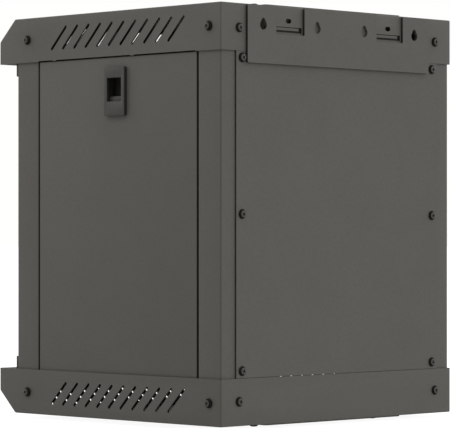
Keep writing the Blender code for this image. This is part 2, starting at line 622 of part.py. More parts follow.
def hinge_clamp(name, top, material):
    """A block that grips the glass's corner and turns on the pin in the cap's lip."""
    high = FLANGE_LOW - GAP
    rounding = [math.pi / 2 * step / 4 for step in range(5)]
    near, far = HINGE_Y - CLAMP_HALF_THICK, HINGE_Y + CLAMP_HALF_THICK
    outline = [(CLAMP_INNER_X, far), (CLAMP_INNER_X, near)]
    for a in rounding:
        outline.append((CLAMP_OUTER_X - CLAMP_ROUND + CLAMP_ROUND * math.sin(a),
                        near + CLAMP_ROUND - CLAMP_ROUND * math.cos(a)))
    for a in rounding:
        outline.append((CLAMP_OUTER_X - CLAMP_ROUND + CLAMP_ROUND * math.cos(a),
                        far - CLAMP_ROUND + CLAMP_ROUND * math.sin(a)))
    bm = bmesh.new()
    add_prism(bm, outline, "xy", high - CLAMP_TALL, high)
    item = make(name, bm, material, (HINGE_X, HINGE_Y, 0))
    tools = bmesh.new()
    add_box(tools, (CLAMP_INNER_X - SHEET, GLASS_HALF + GAP),
            (GLASS_FRONT - GAP, GLASS_FRONT + GLASS_THICK + GAP),
            (high - CLAMP_TALL - SHEET, GLASS_HIGH + GAP))
    carve(item, tools)
    tools = bmesh.new()
    add_prism(tools, circle((HINGE_X, HINGE_Y), PIN_HOLE, ROUND_STEPS), "xy",
              GLASS_HIGH - SHEET, high + SHEET)
    carve(item, tools)
    if not top:
        turn_over(item)
    return item


def hinge_pin(name, top, material):
    """A pin that hangs in the cap's lip by its collar and reaches into the clamp."""
    end, seat = GLASS_HIGH + 2 * GAP, FLANGE_LOW + SHEET + GAP
    profile = [(0, end), (PIN_RADIUS, end), (PIN_RADIUS, seat), (PIN_COLLAR, seat),
               (PIN_COLLAR, seat + SHEET), (0, seat + SHEET)]
    bm = bmesh.new()
    add_turned(bm, profile, (HINGE_X, HINGE_Y, 0), (0, 0, 1))
    item = make(name, bm, material)
    if not top:
        turn_over(item)
    round_shading(item)
    return item


def lock_housing(material):
    """The lock's body: a raised face in front of the glass, a barrel through it, a nut behind."""
    rise, nut_low = GLASS_FRONT - GAP, GLASS_FRONT + GLASS_THICK + GAP
    face = rise - LOCK_RISE
    profile = [(LOCK_FACE - 0.002, 0.0), (LOCK_FACE, 0.002), (LOCK_FACE, rise - face),
               (LOCK_BARREL, rise - face), (LOCK_BARREL, nut_low - face),
               (LOCK_NUT, nut_low - face), (LOCK_NUT, nut_low + LOCK_NUT_THICK - face)]
    bm = bmesh.new()
    add_tube(bm, profile, LOCK_BORE, (LOCK_X, face, LOCK_Z), (0, 1, 0))
    item = make("lock_housing", bm, material, (HINGE_X, HINGE_Y, 0))
    round_shading(item)
    return item


def lock_cylinder(material):
    """The turning core, with a keyway in its face."""
    start, radius = GLASS_FRONT - LOCK_RISE - CORE_PROUD, LOCK_BORE - HEAD_GAP * 2
    length = CAM_FRONT - GAP - start
    bm = bmesh.new()
    add_turned(bm, [(0, 0), (radius, 0), (radius, length), (0, length)],
               (LOCK_X, start, LOCK_Z), (0, 1, 0))
    item = make("lock_cylinder", bm, material, (LOCK_X, HINGE_Y, LOCK_Z))
    tools = bmesh.new()
    add_box(tools, (LOCK_X - KEYWAY_HALF_WIDTH, LOCK_X + KEYWAY_HALF_WIDTH),
            (start - SHEET, start + 2 * SHEET),
            (LOCK_Z - KEYWAY_HALF_HEIGHT, LOCK_Z + KEYWAY_HALF_HEIGHT))
    carve(item, tools)
    round_shading(item)
    return item


def lock_cam(material):
    """The blade that turns behind the front post."""
    reach = CAM_REACH - CAM_HALF
    outline = [(LOCK_X + CAM_HALF * math.cos(a), LOCK_Z + (reach if a < math.pi else 0)
                + CAM_HALF * math.sin(a)) for a in [math.pi * step / 5 for step in range(6)]]
    outline += [(LOCK_X + CAM_HALF * math.cos(a), LOCK_Z + CAM_HALF * math.sin(a))
                for a in [math.pi + math.pi * step / 5 for step in range(6)]]
    bm = bmesh.new()
    add_prism(bm, outline, "xz", CAM_FRONT, CAM_FRONT + CAM_THICK)
    return make("lock_cam", bm, material, (LOCK_X, HINGE_Y, LOCK_Z))


# ---- small hardware -----------------------------------------------------------------------
def screw(name, place, direction, head_thick, material):
    """A pan-head screw; place is the middle of the head's seat, direction points outwards."""
    profile = [(0, -SHANK_LENGTH), (SCREW_SHANK, -SHANK_LENGTH), (SCREW_SHANK, 0), (SCREW_HEAD, 0),
               (SCREW_HEAD, head_thick * 0.45), (SCREW_HEAD * 0.62, head_thick), (0, head_thick)]
    bm = bmesh.new()
    add_turned(bm, profile, (0, 0, 0), (0, 0, 1), HOLE_STEPS)
    item = make(name, bm, material)
    item.location = place
    item.rotation_euler = Vector((0, 0, 1)).rotation_difference(Vector(direction)).to_euler()
    round_shading(item)
    return item


def all_screws(material):
    levels = {"lower": lambda inset: inset, "upper": lambda inset: HEIGHT - inset}
    made = []
    for side_name, side in SIDES.items():
        for level_name, level in levels.items():
            for depth_name, y in zip(("front", "rear"), SIDE_SCREW_Y):
                place = (side * (SIDE + HEAD_GAP), y, level(SIDE_SCREW_INSET))
                made.append(screw(f"side_screw_{depth_name}_{level_name}_{side_name}", place,
                                  (side, 0, 0), SIDE_HEAD_THICK, material))
            place = (side * REAR_SCREW_X, BACK + HEAD_GAP, level(REAR_SCREW_INSET))
            made.append(screw(f"rear_screw_{level_name}_{side_name}", place, (0, 1, 0),
                              HEAD_THICK, material))
        for row_name, z in zip(("lower", "middle", "upper"), BACK_SCREW_Z):
            place = (side * BACK_SCREW_X, POST_BACK + GAP + THIN_SHEET + HEAD_GAP, z)
            made.append(screw(f"back_panel_screw_{row_name}_{side_name}", place, (0, 1, 0),
                              HEAD_THICK, material))
        for cover_name, y, up in (("top_rear", REAR_COVER_Y, 1), ("bottom_rear", REAR_COVER_Y, -1),
                                  ("bottom_front", FRONT_COVER_Y, -1)):
            height = HEIGHT + COVER_SEAT if up > 0 else -COVER_SEAT
            made.append(screw(f"cover_screw_{cover_name}_{side_name}",
                              (side * COVER_SCREW_X, y, height), (0, 0, up),
                              COVER_HEAD_THICK, material))
    return made


def earth_stud(material):
    """A welded stud with its nut, on the inside of the bottom cap."""
    profile = [(0, 0), (STUD_NUT, 0), (STUD_NUT, STUD_NUT_THICK), (STUD_RADIUS, STUD_NUT_THICK),
               (STUD_RADIUS, STUD_TALL), (0, STUD_TALL)]
    bm = bmesh.new()
    add_turned(bm, profile, (*STUD_PLACE, SHEET + GAP), (0, 0, 1), 6)
    return make("earth_stud", bm, material)


def door_bumper(name, z, material):
    """A rubber stop between the front post and the glass."""
    start, end = POST_FRONT - GAP, GLASS_FRONT + GLASS_THICK + GAP
    profile = [(0, 0), (BUMPER_RADIUS, 0), (BUMPER_RADIUS * 0.8, start - end), (0, start - end)]
    bm = bmesh.new()
    add_turned(bm, profile, (BUMPER_X, start, z), (0, -1, 0), HOLE_STEPS)
    item = make(name, bm, material)
    round_shading(item)
    return item


# ---- the cabinet --------------------------------------------------------------------------
def build():
    clear_scene()
    paint = finish_material("paint", (0.094, 0.092, 0.084), 0.62, 0.0)
    inner_paint = finish_material("inner_paint", (0.020, 0.020, 0.020), 0.60, 0.0)
    plastic = finish_material("latch_plastic", (0.045, 0.044, 0.041), 0.50, 0.0)
    screw_black = finish_material("screw_black", (0.030, 0.029, 0.028), 0.42, 0.7)
    clamp_black = finish_material("clamp_black", (0.015, 0.015, 0.015), 0.45, 0.0)
    zinc = finish_material("zinc", (0.55, 0.56, 0.57), 0.35, 1.0)
    glass = finish_material("glass", (0.80, 0.86, 0.84), 0.05, 0.0, 0.9)
    rubber = finish_material("rubber", (0.020, 0.020, 0.020), 0.85, 0.0)

    made = [top_cap(paint), bottom_cap(paint), back_panel(paint), wall_bracket(paint)]
    made += [cable_cover("cable_cover_top_rear", REAR_COVER_Y, True, paint),
             cable_cover("cable_cover_bottom_rear", REAR_COVER_Y, False, paint),
             cable_cover("cable_cover_bottom_front", FRONT_COVER_Y, False, paint)]
    for side_name, side in SIDES.items():
        made += [post(f"front_post_{side_name}", side, False, paint),
                 post(f"rear_post_{side_name}", side, True, paint),
                 rack_rail(f"rack_rail_{side_name}", side, inner_paint),
                 wall_hook(f"wall_hook_{side_name}", side, paint),
                 side_panel(f"side_panel_{side_name}", side, paint),
                 latch_housing(f"latch_housing_{side_name}", side, plastic),
                 latch_slider(f"latch_slider_{side_name}", side, plastic)]
        for level, low in BAR_LOWS.items():
            made.append(rail_bar(f"rail_bar_{level}_{side_name}", side, low, inner_paint))
    made += [glass_door(glass), lock_housing(clamp_black), lock_cylinder(zinc), lock_cam(zinc)]
    for level, top in (("lower", False), ("upper", True)):
        made += [hinge_clamp(f"hinge_clamp_{level}", top, clamp_black),
                 hinge_pin(f"hinge_pin_{level}", top, zinc)]
        made.append(door_bumper(f"door_bumper_{level}", BUMPER_Z[int(top)], rubber))
    made.append(earth_stud(zinc))
    made += all_screws(screw_black)

    shell_origin = bpy.data.objects.new("shell_origin", None)
    bpy.context.collection.objects.link(shell_origin)
    shell_origin.location = SHELL_PLACE
    for item in made:
        item.parent = shell_origin


build()
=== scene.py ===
"""Looks of the ten-inch wall rack cabinet: folded powder-coated sheet, slide latches, glass door.

Metres, +Z up, front towards -Y. Pieces are drawn in shell coordinates, whose origin is under the
middle of the bottom cap, and make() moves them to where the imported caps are.
"""
import math

import bmesh
import bpy
from mathutils import Matrix, Vector


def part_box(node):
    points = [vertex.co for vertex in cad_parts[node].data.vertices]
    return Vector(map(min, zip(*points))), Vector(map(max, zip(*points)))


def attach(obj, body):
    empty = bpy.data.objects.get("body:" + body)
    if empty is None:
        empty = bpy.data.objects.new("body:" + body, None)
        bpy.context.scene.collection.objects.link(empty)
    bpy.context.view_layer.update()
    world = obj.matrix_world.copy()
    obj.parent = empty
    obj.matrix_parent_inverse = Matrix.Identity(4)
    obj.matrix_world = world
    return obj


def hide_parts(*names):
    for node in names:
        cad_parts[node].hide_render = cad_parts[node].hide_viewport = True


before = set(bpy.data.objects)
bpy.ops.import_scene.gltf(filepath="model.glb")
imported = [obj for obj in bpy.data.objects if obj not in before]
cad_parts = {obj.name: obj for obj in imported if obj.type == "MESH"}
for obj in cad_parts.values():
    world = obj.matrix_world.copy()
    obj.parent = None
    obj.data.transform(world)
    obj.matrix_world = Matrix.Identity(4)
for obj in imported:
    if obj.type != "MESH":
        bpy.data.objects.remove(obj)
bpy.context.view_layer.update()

# ---- sizes read from the frame ------------------------------------------------------------
CAP_MIN, CAP_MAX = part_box("top_cap")
BASE_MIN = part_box("bottom_cap")[0]
SHELL = Vector((0, (CAP_MIN.y + CAP_MAX.y) / 2, BASE_MIN.z))


def shell_box(node):
    """Lowest and highest corner of a CAD node in shell coordinates."""
    low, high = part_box(node)
    return low - SHELL, high - SHELL


HEIGHT = CAP_MAX.z - SHELL.z
SIDE = CAP_MAX.x
BACK, FRONT = CAP_MAX.y - SHELL.y, CAP_MIN.y - SHELL.y
# Known fault: this is the end of the relief tabs, 1.5 mm below the true edge of the skirts.
FLANGE_LOW = CAP_MIN.z - SHELL.z

# ---- sizes of the folded sheet and its cut-outs -------------------------------------------
SHEET = 0.0015           # steel of caps, posts, rails and bars
THIN_SHEET = 0.0012      # steel of the panels
GAP = 0.0003             # clearance between pieces that rest on each other
FOLD = 0.0012            # outer radius of a fold
INNER_FOLD, CORNER = 0.0004, 0.0003    # inner radius of a fold, and a cut sheet's corner
PANEL_FOLD = 0.0007      # outer radius of the side panels' folds

CHAMFER_DEPTH, CHAMFER_HEIGHT = 0.022, 0.0205
LIP_BACK = -0.1263       # rear edge of the lip that closes the ears from below
FLANGE_RELIEF, RELIEF_TABS, RELIEF_TAB_WIDTH = 0.0007, (-0.0714, 0.0357), 0.005
VENT_COUNT, VENT_PITCH, VENT_WIDTH, VENT_RISE = 11, 0.0158, 0.0027, 0.0205
VENT_CENTRES, VENT_INSET = {"left": 0.0098, "right": 0.0142}, 0.0207
FRONT_VENTS, FRONT_VENT_PITCH, FRONT_VENT_WIDTH = 23, 0.010, 0.0034
FRONT_VENT_MIDDLE, FRONT_VENT_LENGTH = 0.49, 0.72    # as parts of the slope
FAN_VENTS, FAN_VENT_PITCH, FAN_VENT_WIDTH, FAN_VENT_LENGTH, FAN_Y = 9, 0.012, 0.004, 0.090, 0.011
ENTRY_HALF_X, ENTRY_HALF_Y = 0.068, 0.017
REAR_COVER_Y, FRONT_COVER_Y, COVER_SCREW_X = 0.117, -0.095, 0.078
SIDE_SCREWS = {"front": -0.1091, "rear": 0.1352}
SIDE_SCREW_INSET = 0.0204
REAR_SCREW_X, REAR_SCREW_INSET = 0.129, 0.0215
BACK_SCREW_X, BACK_SCREW_HEIGHTS = 0.125, (0.0481, 0.1855, 0.3225)
SCREW_HOLE, HINGE_HOLE = 0.0024, 0.0029
HINGE_X, HINGE_Y, CLAMP_SCREW_X = 0.1352, -0.1343, 0.1215
LOCK_X, LOCK_Z = -0.118, 0.185
NOTCH_CENTRE, NOTCH_HALF, NOTCH_LOW = 0.0655, 0.018, 0.345
BRACKET_SHIFT = 0.0018   # the bracket and the hooks' slots stand this much off the middle
HOOK_SLOT_HALF, HOOK_SLOT_LOW, HOOK_SLOT_HIGH = 0.0165, 0.3470, 0.3519
HOOK_HALF, HOOK_SHIFT, HOOK_THICK = 0.0145, 0.0013, 0.0026
HOOK_SCREW_Z, HOOK_SCREW_LENGTH, HOOK_SCREW_WIDTH = 0.3573, 0.0068, 0.0042
KEYHOLES, KEYHOLE_ROUND, KEYHOLE_SLOT = (0.0995, 0.031), 0.0043, 0.0026
KEYHOLE_LOW, KEYHOLE_HIGH = 0.3521, 0.3558
LATCH_Y, WINDOW_HALF, WINDOW_LOW, WINDOW_HIGH = 0.0135, 0.0095, 0.2879, 0.3093
POCKET_HALF, POCKET_LOW, POCKET_HIGH, POCKET_WALL = 0.0103, 0.2793, 0.3143, 0.0013
SLIDER_TAB, SLIDER_TOP, BOLT_HALF, BOLT_THICK = 0.2926, 0.3135, 0.006, 0.0025
HEAD_THICKS = {"side": 0.0034, "rear": 0.0023, "back": 0.0023, "cover": 0.0026}
UNIT, UNITS, UNIT_HOLES = 0.04445, 6, (0.00635, 0.022225, 0.0381)
HOLE_X, HOLE_HALF = 0.11826, 0.00475
BAR_FOOT, BAR_LIP = 0.0145, 0.0075
BAR_SLOTS, BAR_SLOT_PITCH, BAR_SLOT_LENGTH, BAR_SLOT_WIDTH = 3, 0.080, 0.058, 0.0065
SIDES = {"left": -1, "right": 1}
RIGHT_ANGLE = math.pi / 2
TINY = 0.00005
DIM_DIRECTION = (0.98, 0.20, 0.0)    # towards the darkest part of the studio
DIM_FROM, DIM_TO, BRIGHT, DIM = 0.40, 0.92, 1.30, 0.10    # where dimming starts and ends, light there
LIGHT_PLACE, LIGHT_ENERGY, LIGHT_SIZE = (0.75, 0.05, 0.95), 1.9, 0.5
CAMERA_PLACE, CAMERA_TURN = (1.7965, 1.8407, 0.1665), 90 + 45.683
CAMERA_LENS, CAMERA_SENSOR, CAMERA_SHIFT = 217.0, 36.0, 0.0482


# ---- materials ----------------------------------------------------------------------------
def new_material(name):
    material = bpy.data.materials.new(name)
    material.use_nodes = True
    tree = material.node_tree
    return material, tree, tree.nodes["Principled BSDF"]


def noise(tree, scale, detail=3.0, roughness=0.55):
    """A noise texture in the piece's own coordinates; scale is in cells per metre."""
    place = tree.nodes.new("ShaderNodeTexCoord")
    texture = tree.nodes.new("ShaderNodeTexNoise")
    texture.inputs["Scale"].default_value = scale
    texture.inputs["Detail"].default_value = detail
    texture.inputs["Roughness"].default_value = roughness
    tree.links.new(place.outputs["Object"], texture.inputs["Vector"])
    return texture.outputs["Fac"]


def spread(tree, value, low, high, from_low=0.3, from_high=0.7):
    """Map a noise value onto a range."""
    node = tree.nodes.new("ShaderNodeMapRange")
    node.inputs["From Min"].default_value = from_low
    node.inputs["From Max"].default_value = from_high
    node.inputs["To Min"].default_value = low
    node.inputs["To Max"].default_value = high
    tree.links.new(value, node.inputs["Value"])
    return node.outputs["Result"]


def multiply(tree, first, second):
    node = tree.nodes.new("ShaderNodeMath")
    node.operation = "MULTIPLY"
    tree.links.new(first, node.inputs[0])
    tree.links.new(second, node.inputs[1])
    return node.outputs["Value"]


def shaded_colour(tree, colour, factor):
    """A colour made lighter or darker by a factor near one."""
    node = tree.nodes.new("ShaderNodeVectorMath")
    node.operation = "SCALE"
    node.inputs[0].default_value = colour
    tree.links.new(factor, node.inputs["Scale"])
    return node.outputs["Vector"]


def bump(tree, height, distance, strength=1.0, below=None):
    node = tree.nodes.new("ShaderNodeBump")
    node.inputs["Distance"].default_value = distance
    node.inputs["Strength"].default_value = strength
    tree.links.new(height, node.inputs["Height"])
    if below is not None:
        tree.links.new(below, node.inputs["Normal"])
    return node.outputs["Normal"]


def powder_coat(name, colour, roughness=0.62, grain=950.0, grain_height=0.00006):
    """Fine orange-peel powder coat: speckle, faint cloudiness, uneven gloss and a grainy relief."""
    material, tree, shader = new_material(name)
    speckle = spread(tree, noise(tree, 1500.0, 2.0), 0.90, 1.10)
    clouds = spread(tree, noise(tree, 22.0, 4.0), 0.97, 1.03)
    tree.links.new(shaded_colour(tree, colour, multiply(tree, speckle, clouds)),
                   shader.inputs["Base Color"])
    gloss = spread(tree, noise(tree, 420.0, 3.0), roughness - 0.05, roughness + 0.07)
    tree.links.new(gloss, shader.inputs["Roughness"])
    peel = bump(tree, noise(tree, 260.0, 2.0), 0.00004)
    tree.links.new(bump(tree, noise(tree, grain, 2.0, 0.6), grain_height, 1.0, peel),
                   shader.inputs["Normal"])
    shader.inputs["Specular IOR Level"].default_value = 0.42
    return material


def moulded_plastic(name, colour, roughness):
    """Spark-eroded plastic: very fine grain, slightly uneven gloss."""
    material, tree, shader = new_material(name)
    tone = spread(tree, noise(tree, 60.0, 3.0), 0.92, 1.08)
    tree.links.new(shaded_colour(tree, colour, tone), shader.inputs["Base Color"])
    gloss = spread(tree, noise(tree, 700.0, 3.0), roughness - 0.06, roughness + 0.08)
    tree.links.new(gloss, shader.inputs["Roughness"])
    tree.links.new(bump(tree, noise(tree, 2200.0, 2.0), 0.00003), shader.inputs["Normal"])
    return material


def metal(name, colour, roughness, metallic=1.0, grain=500.0, stain=0.10, specular=0.5):
    """Plated or blackened steel: patchy tone and roughness, faint surface grain."""
    material, tree, shader = new_material(name)
    tone = spread(tree, noise(tree, 90.0, 4.0), 1.0 - stain, 1.0 + stain)
    tree.links.new(shaded_colour(tree, colour, tone), shader.inputs["Base Color"])
    gloss = spread(tree, noise(tree, grain, 3.0), roughness - 0.07, roughness + 0.10)
    tree.links.new(gloss, shader.inputs["Roughness"])
    tree.links.new(bump(tree, noise(tree, grain * 3, 2.0), 0.00002), shader.inputs["Normal"])
    shader.inputs["Metallic"].default_value = metallic
    shader.inputs["Specular IOR Level"].default_value = specular
    return material


def clear_glass(name):
    """Toughened glass, lightly smoked, with a trace of rolling waviness and dust in its gloss."""
    material, tree, shader = new_material(name)
    shader.inputs["Base Color"].default_value = (0.70, 0.77, 0.75, 1.0)
    shader.inputs["Transmission Weight"].default_value = 1.0
    shader.inputs["IOR"].default_value = 1.5
    gloss = spread(tree, noise(tree, 35.0, 4.0), 0.0, 0.05)
    tree.links.new(gloss, shader.inputs["Roughness"])
    tree.links.new(bump(tree, noise(tree, 6.0, 1.0), 0.000004), shader.inputs["Normal"])
    return material


PAINT = powder_coat("paint", (0.0835, 0.0800, 0.0705))
# Painted shade: a darker copy of the coat, for the dark line along the upright folds.
FOLD_SHADE = powder_coat("fold_painted_shade", (0.0600, 0.0575, 0.0510))
# Painted shade: near-black for sheet edges, hole walls, recesses and faces seen in the gaps between parts.
EDGE_SHADE = powder_coat("painted_edge_shade", (0.012, 0.012, 0.011), 0.70)
INNER_PAINT = powder_coat("inner_paint", (0.016, 0.016, 0.016), 0.50)
# Painted light: a lighter copy of the latch plastic for its outward face.
LATCH_LIT_FACE = moulded_plastic("latch_painted_light_face", (0.036, 0.0345, 0.0300), 0.55)
LATCH_BLACK = moulded_plastic("latch_black", (0.014, 0.014, 0.012), 0.50)
# Painted light: a lighter grey for the screw heads' crowns, against their black walls.
SCREW_LIT_CROWN = metal("screw_painted_light_crown", (0.052, 0.050, 0.045), 0.42, 0.0, specular=0.4)
SCREW_BLACK = metal("screw_black", (0.008, 0.008, 0.007), 0.60, 0.0, specular=0.10)
CLAMP_BLACK = powder_coat("clamp_black", (0.010, 0.010, 0.010), 0.42, 1400.0, 0.00003)
ZINC = metal("zinc", (0.60, 0.61, 0.62), 0.30)
GLASS = clear_glass("glass")
RUBBER = moulded_plastic("rubber", (0.014, 0.014, 0.014), 0.85)


# ---- modelling helpers --------------------------------------------------------------------
def add_prism(bm, outline, plane, low, high, wall_index=0):
    """A closed outline in the two axes of plane, extruded along the third axis."""
    across, up = "xyz".index(plane[0]), "xyz".index(plane[1])
    along = 3 - across - up

    def ring(level):
        corners = []
        for point in outline:
            place = [0.0, 0.0, 0.0]
            place[across], place[up] = point
            place[along] = level
            corners.append(bm.verts.new(place))
        return corners

    start, end = ring(low), ring(high)
    bm.faces.new(start[::-1])
    bm.faces.new(end)
    for index in range(len(outline)):
        wall = bm.faces.new((start[index - 1], start[index], end[index], end[index - 1]))
        wall.material_index = wall_index


def add_box(bm, x_range, y_range, z_range):
    (x0, x1), (y0, y1) = x_range, y_range
    add_prism(bm, [(x0, y0), (x1, y0), (x1, y1), (x0, y1)], "xy", *z_range)


def add_turned(bm, profile, place=(0, 0, 0), direction=(0, 0, 1), steps=32):
    """A profile of (radius, height) turned about direction, from place."""
    turn = Vector((0, 0, 1)).rotation_difference(Vector(direction)).to_matrix().to_4x4()
    matrix = Matrix.Translation(place) @ turn
    angles = [2 * math.pi * (step + 0.5) / steps for step in range(steps)]
    rings = []
    for radius, height in profile:
        spots = [(radius * math.cos(a), radius * math.sin(a), height) for a in angles]
        if radius == 0:
            spots = [(0, 0, height)]
        rings.append([bm.verts.new(matrix @ Vector(spot)) for spot in spots])
    for lower, upper in zip(rings, rings[1:]):
        for index in range(steps):
            corners = []
            for ring, order in ((lower, (index - 1, index)), (upper, (index, index - 1))):
                corners.extend([ring[number] for number in order] if len(ring) > 1 else ring)
            bm.faces.new(corners)


def circle(centre, radius, steps=20):
    angles = [2 * math.pi * (step + 0.5) / steps for step in range(steps)]
    return [(centre[0] + radius * math.cos(a), centre[1] + radius * math.sin(a)) for a in angles]


def slot(centre, length, width, angle=0.0, end_steps=8):
    """A slot's outline with rounded ends, turned by angle from the first axis."""
    radius, reach = width / 2, (length - width) / 2
    outline = []
    for end in (1, -1):
        for step in range(end_steps + 1):
            turn = -RIGHT_ANGLE + math.pi * step / end_steps
            outline.append((end * (reach + radius * math.cos(turn)), end * radius * math.sin(turn)))
    cos, sin = math.cos(angle), math.sin(angle)
    return [(centre[0] + x * cos - y * sin, centre[1] + x * sin + y * cos) for x, y in outline]


def fillet(points, steps=5):
    """A closed outline of (x, y, radius), each corner rounded to its radius."""
    outline = []
    for index, (x, y, radius) in enumerate(points):
        here = Vector((x, y))
        if radius == 0:
            outline.append((x, y))
            continue
        before = (Vector(points[index - 1][:2]) - here).normalized()
        after = (Vector(points[(index + 1) % len(points)][:2]) - here).normalized()
        half = before.angle(after) / 2
        centre = here + (before + after).normalized() * radius / math.sin(half)
        reach = radius / math.tan(half)
        start, end = here + before * reach - centre, here + after * reach - centre
        sweep = start.angle(end)
        for step in range(steps + 1):
            part = step / steps
            spoke = (start * math.sin((1 - part) * sweep) + end * math.sin(part * sweep))
            outline.append(tuple(centre + spoke / math.sin(sweep)))
    return outline


def rectangle(x_range, y_range, radius):
    (x0, x1), (y0, y1) = sorted(x_range), sorted(y_range)
    return fillet([(x0, y0, radius), (x1, y0, radius), (x1, y1, radius), (x0, y1, radius)])


def mirrored(outline, side):
    return [(x * side, y) for x, y in outline]


def span(side, low, high):
    """The X range low..high on the right side, or its mirror image on the left."""
    return sorted((side * low, side * high))


def make(name, bm, *materials):
    """An object of one closed mesh, moved from shell coordinates to its place."""
    bmesh.ops.translate(bm, vec=SHELL, verts=bm.verts)
    bmesh.ops.recalc_face_normals(bm, faces=bm.faces)
    mesh = bpy.data.meshes.new(name)
    bm.to_mesh(mesh)
    bm.free()
    for material in materials:
        mesh.materials.append(material)
    item = bpy.data.objects.new(name, mesh)
    bpy.context.collection.objects.link(item)
    return item


def bake(item):
    """Apply an object's modifiers to its mesh."""
    shaped = item.evaluated_get(bpy.context.evaluated_depsgraph_get())
    mesh = bpy.data.meshes.new_from_object(shaped)
    item.modifiers.clear()
    item.data = mesh


def carve(item, tools, material=None, operation="DIFFERENCE"):
    """Cut the solids in tools from an object, or join them to it; the new faces take material."""
    cutter = make("cutter", tools, material or item.data.materials[0])
    modifier = item.modifiers.new("Boolean", "BOOLEAN")
    modifier.operation = operation
    modifier.solver = "EXACT"
    modifier.material_mode = "TRANSFER"
    modifier.object = cutter
    bake(item)
    bpy.data.objects.remove(cutter)


def soften(item, width, segments=2, angle=40):
    """Round an object's edges and apply the result."""
    modifier = item.modifiers.new("Bevel", "BEVEL")
    modifier.width = width
    modifier.segments = segments
    modifier.limit_method = "ANGLE"
    modifier.angle_limit = math.radians(angle)
    modifier.use_clamp_overlap = True
    modifier.harden_normals = False
    bake(item)


def smooth(item, angle=35):
    item.data.shade_smooth()
    item.data.set_sharp_from_angle(angle=math.radians(angle))


def turn_over(item):
    """Mirror an object's mesh about the middle height of the shell."""
    middle = SHELL.z + HEIGHT / 2
    bm = bmesh.new()
    bm.from_mesh(item.data)
    for vertex in bm.verts:
        vertex.co.z = 2 * middle - vertex.co.z
    bmesh.ops.reverse_faces(bm, faces=bm.faces)
    bm.to_mesh(item.data)
    bm.free()


def paint_faces(item, material, rule):
    """Give the faces that the rule picks, by normal and centre in shell coordinates, a material."""
    item.data.materials.append(material)
    index = len(item.data.materials) - 1
    for face in item.data.polygons:
        if rule(face.normal, Vector(face.center) - SHELL):
            face.material_index = index


def settle(item, body, slot_name, *nodes):
    """Ride on a body and stand for CAD nodes; slot_name is not used."""
    smooth(item)
    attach(item, body)
    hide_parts(*nodes)
    return item


# ---- caps ---------------------------------------------------------------------------------
def cap_corners(inset):
    """Side view of a top cap as front, chamfer's low and back ends, top and back."""
    slope = math.hypot(CHAMFER_DEPTH, CHAMFER_HEIGHT)
    chamfer_low = HEIGHT - CHAMFER_HEIGHT - inset * (slope - CHAMFER_HEIGHT) / CHAMFER_DEPTH
    chamfer_back = FRONT + CHAMFER_DEPTH + inset * (slope - CHAMFER_DEPTH) / CHAMFER_HEIGHT
    return FRONT + inset, chamfer_low, chamfer_back, HEIGHT - inset, BACK - inset


def cap_body(name):
    """A folded tray: outer solid with rounded folds, hollowed from below."""
    front, chamfer_low, chamfer_back, high, back = cap_corners(0)
    below = FLANGE_LOW - 4 * SHEET
    outer = [(front, below), (front, chamfer_low), (chamfer_back, high), (back, high),
             (back, below)]
    bm = bmesh.new()
    add_prism(bm, outer, "yz", -SIDE, SIDE)
    item = make(name, bm, PAINT)
    soften(item, FOLD, 4, 25)
    front, chamfer_low, chamfer_back, high, back = cap_corners(SHEET)
    lip = FLANGE_LOW + SHEET
    hollow = [(back, below - SHEET), (back, high), (chamfer_back, high), (front, chamfer_low),
              (front, lip), (LIP_BACK, lip), (LIP_BACK, below - SHEET)]
    tools = bmesh.new()
    add_prism(tools, hollow, "yz", -SIDE + SHEET, SIDE - SHEET)
    carve(item, tools)
    tools = bmesh.new()
    add_box(tools, (-2 * SIDE, 2 * SIDE), (2 * FRONT, 2 * BACK), (below - SHEET, FLANGE_LOW))
    carve(item, tools)
    # Painted shade: the skirts' lower edges are near-black, a dark seam where the cap meets panels and
    # posts.
    paint_faces(item, EDGE_SHADE, lambda normal, centre: normal.z < -0.9
                and abs(centre.z - FLANGE_LOW) < TINY)
    return item


def paint_shade_on_folds(item):
    """Painted shade: a darker copy of the coat on the upright folds' rounding, for the dark line along the
    corners.
    """
    paint_faces(item, FOLD_SHADE, lambda normal, centre: min(abs(normal.x), abs(normal.y)) > 0.25
                and abs(normal.z) < 0.1 and abs(centre.x) > SIDE - 2 * SHEET)


def side_vent_tools(tools, slant):
    """Slanted slots through both skirts, which lean the same way when seen from outside."""
    length = math.hypot(VENT_RISE, VENT_RISE) + VENT_WIDTH / 2
    for name, side in SIDES.items():
        for number in range(VENT_COUNT):
            y = VENT_CENTRES[name] + (number - (VENT_COUNT - 1) / 2) * VENT_PITCH
            outline = slot((y, HEIGHT - VENT_INSET), length, VENT_WIDTH, side * slant * math.pi / 4)
            add_prism(tools, outline, "yz", *span(side, SIDE - 2 * SHEET, SIDE + SHEET))


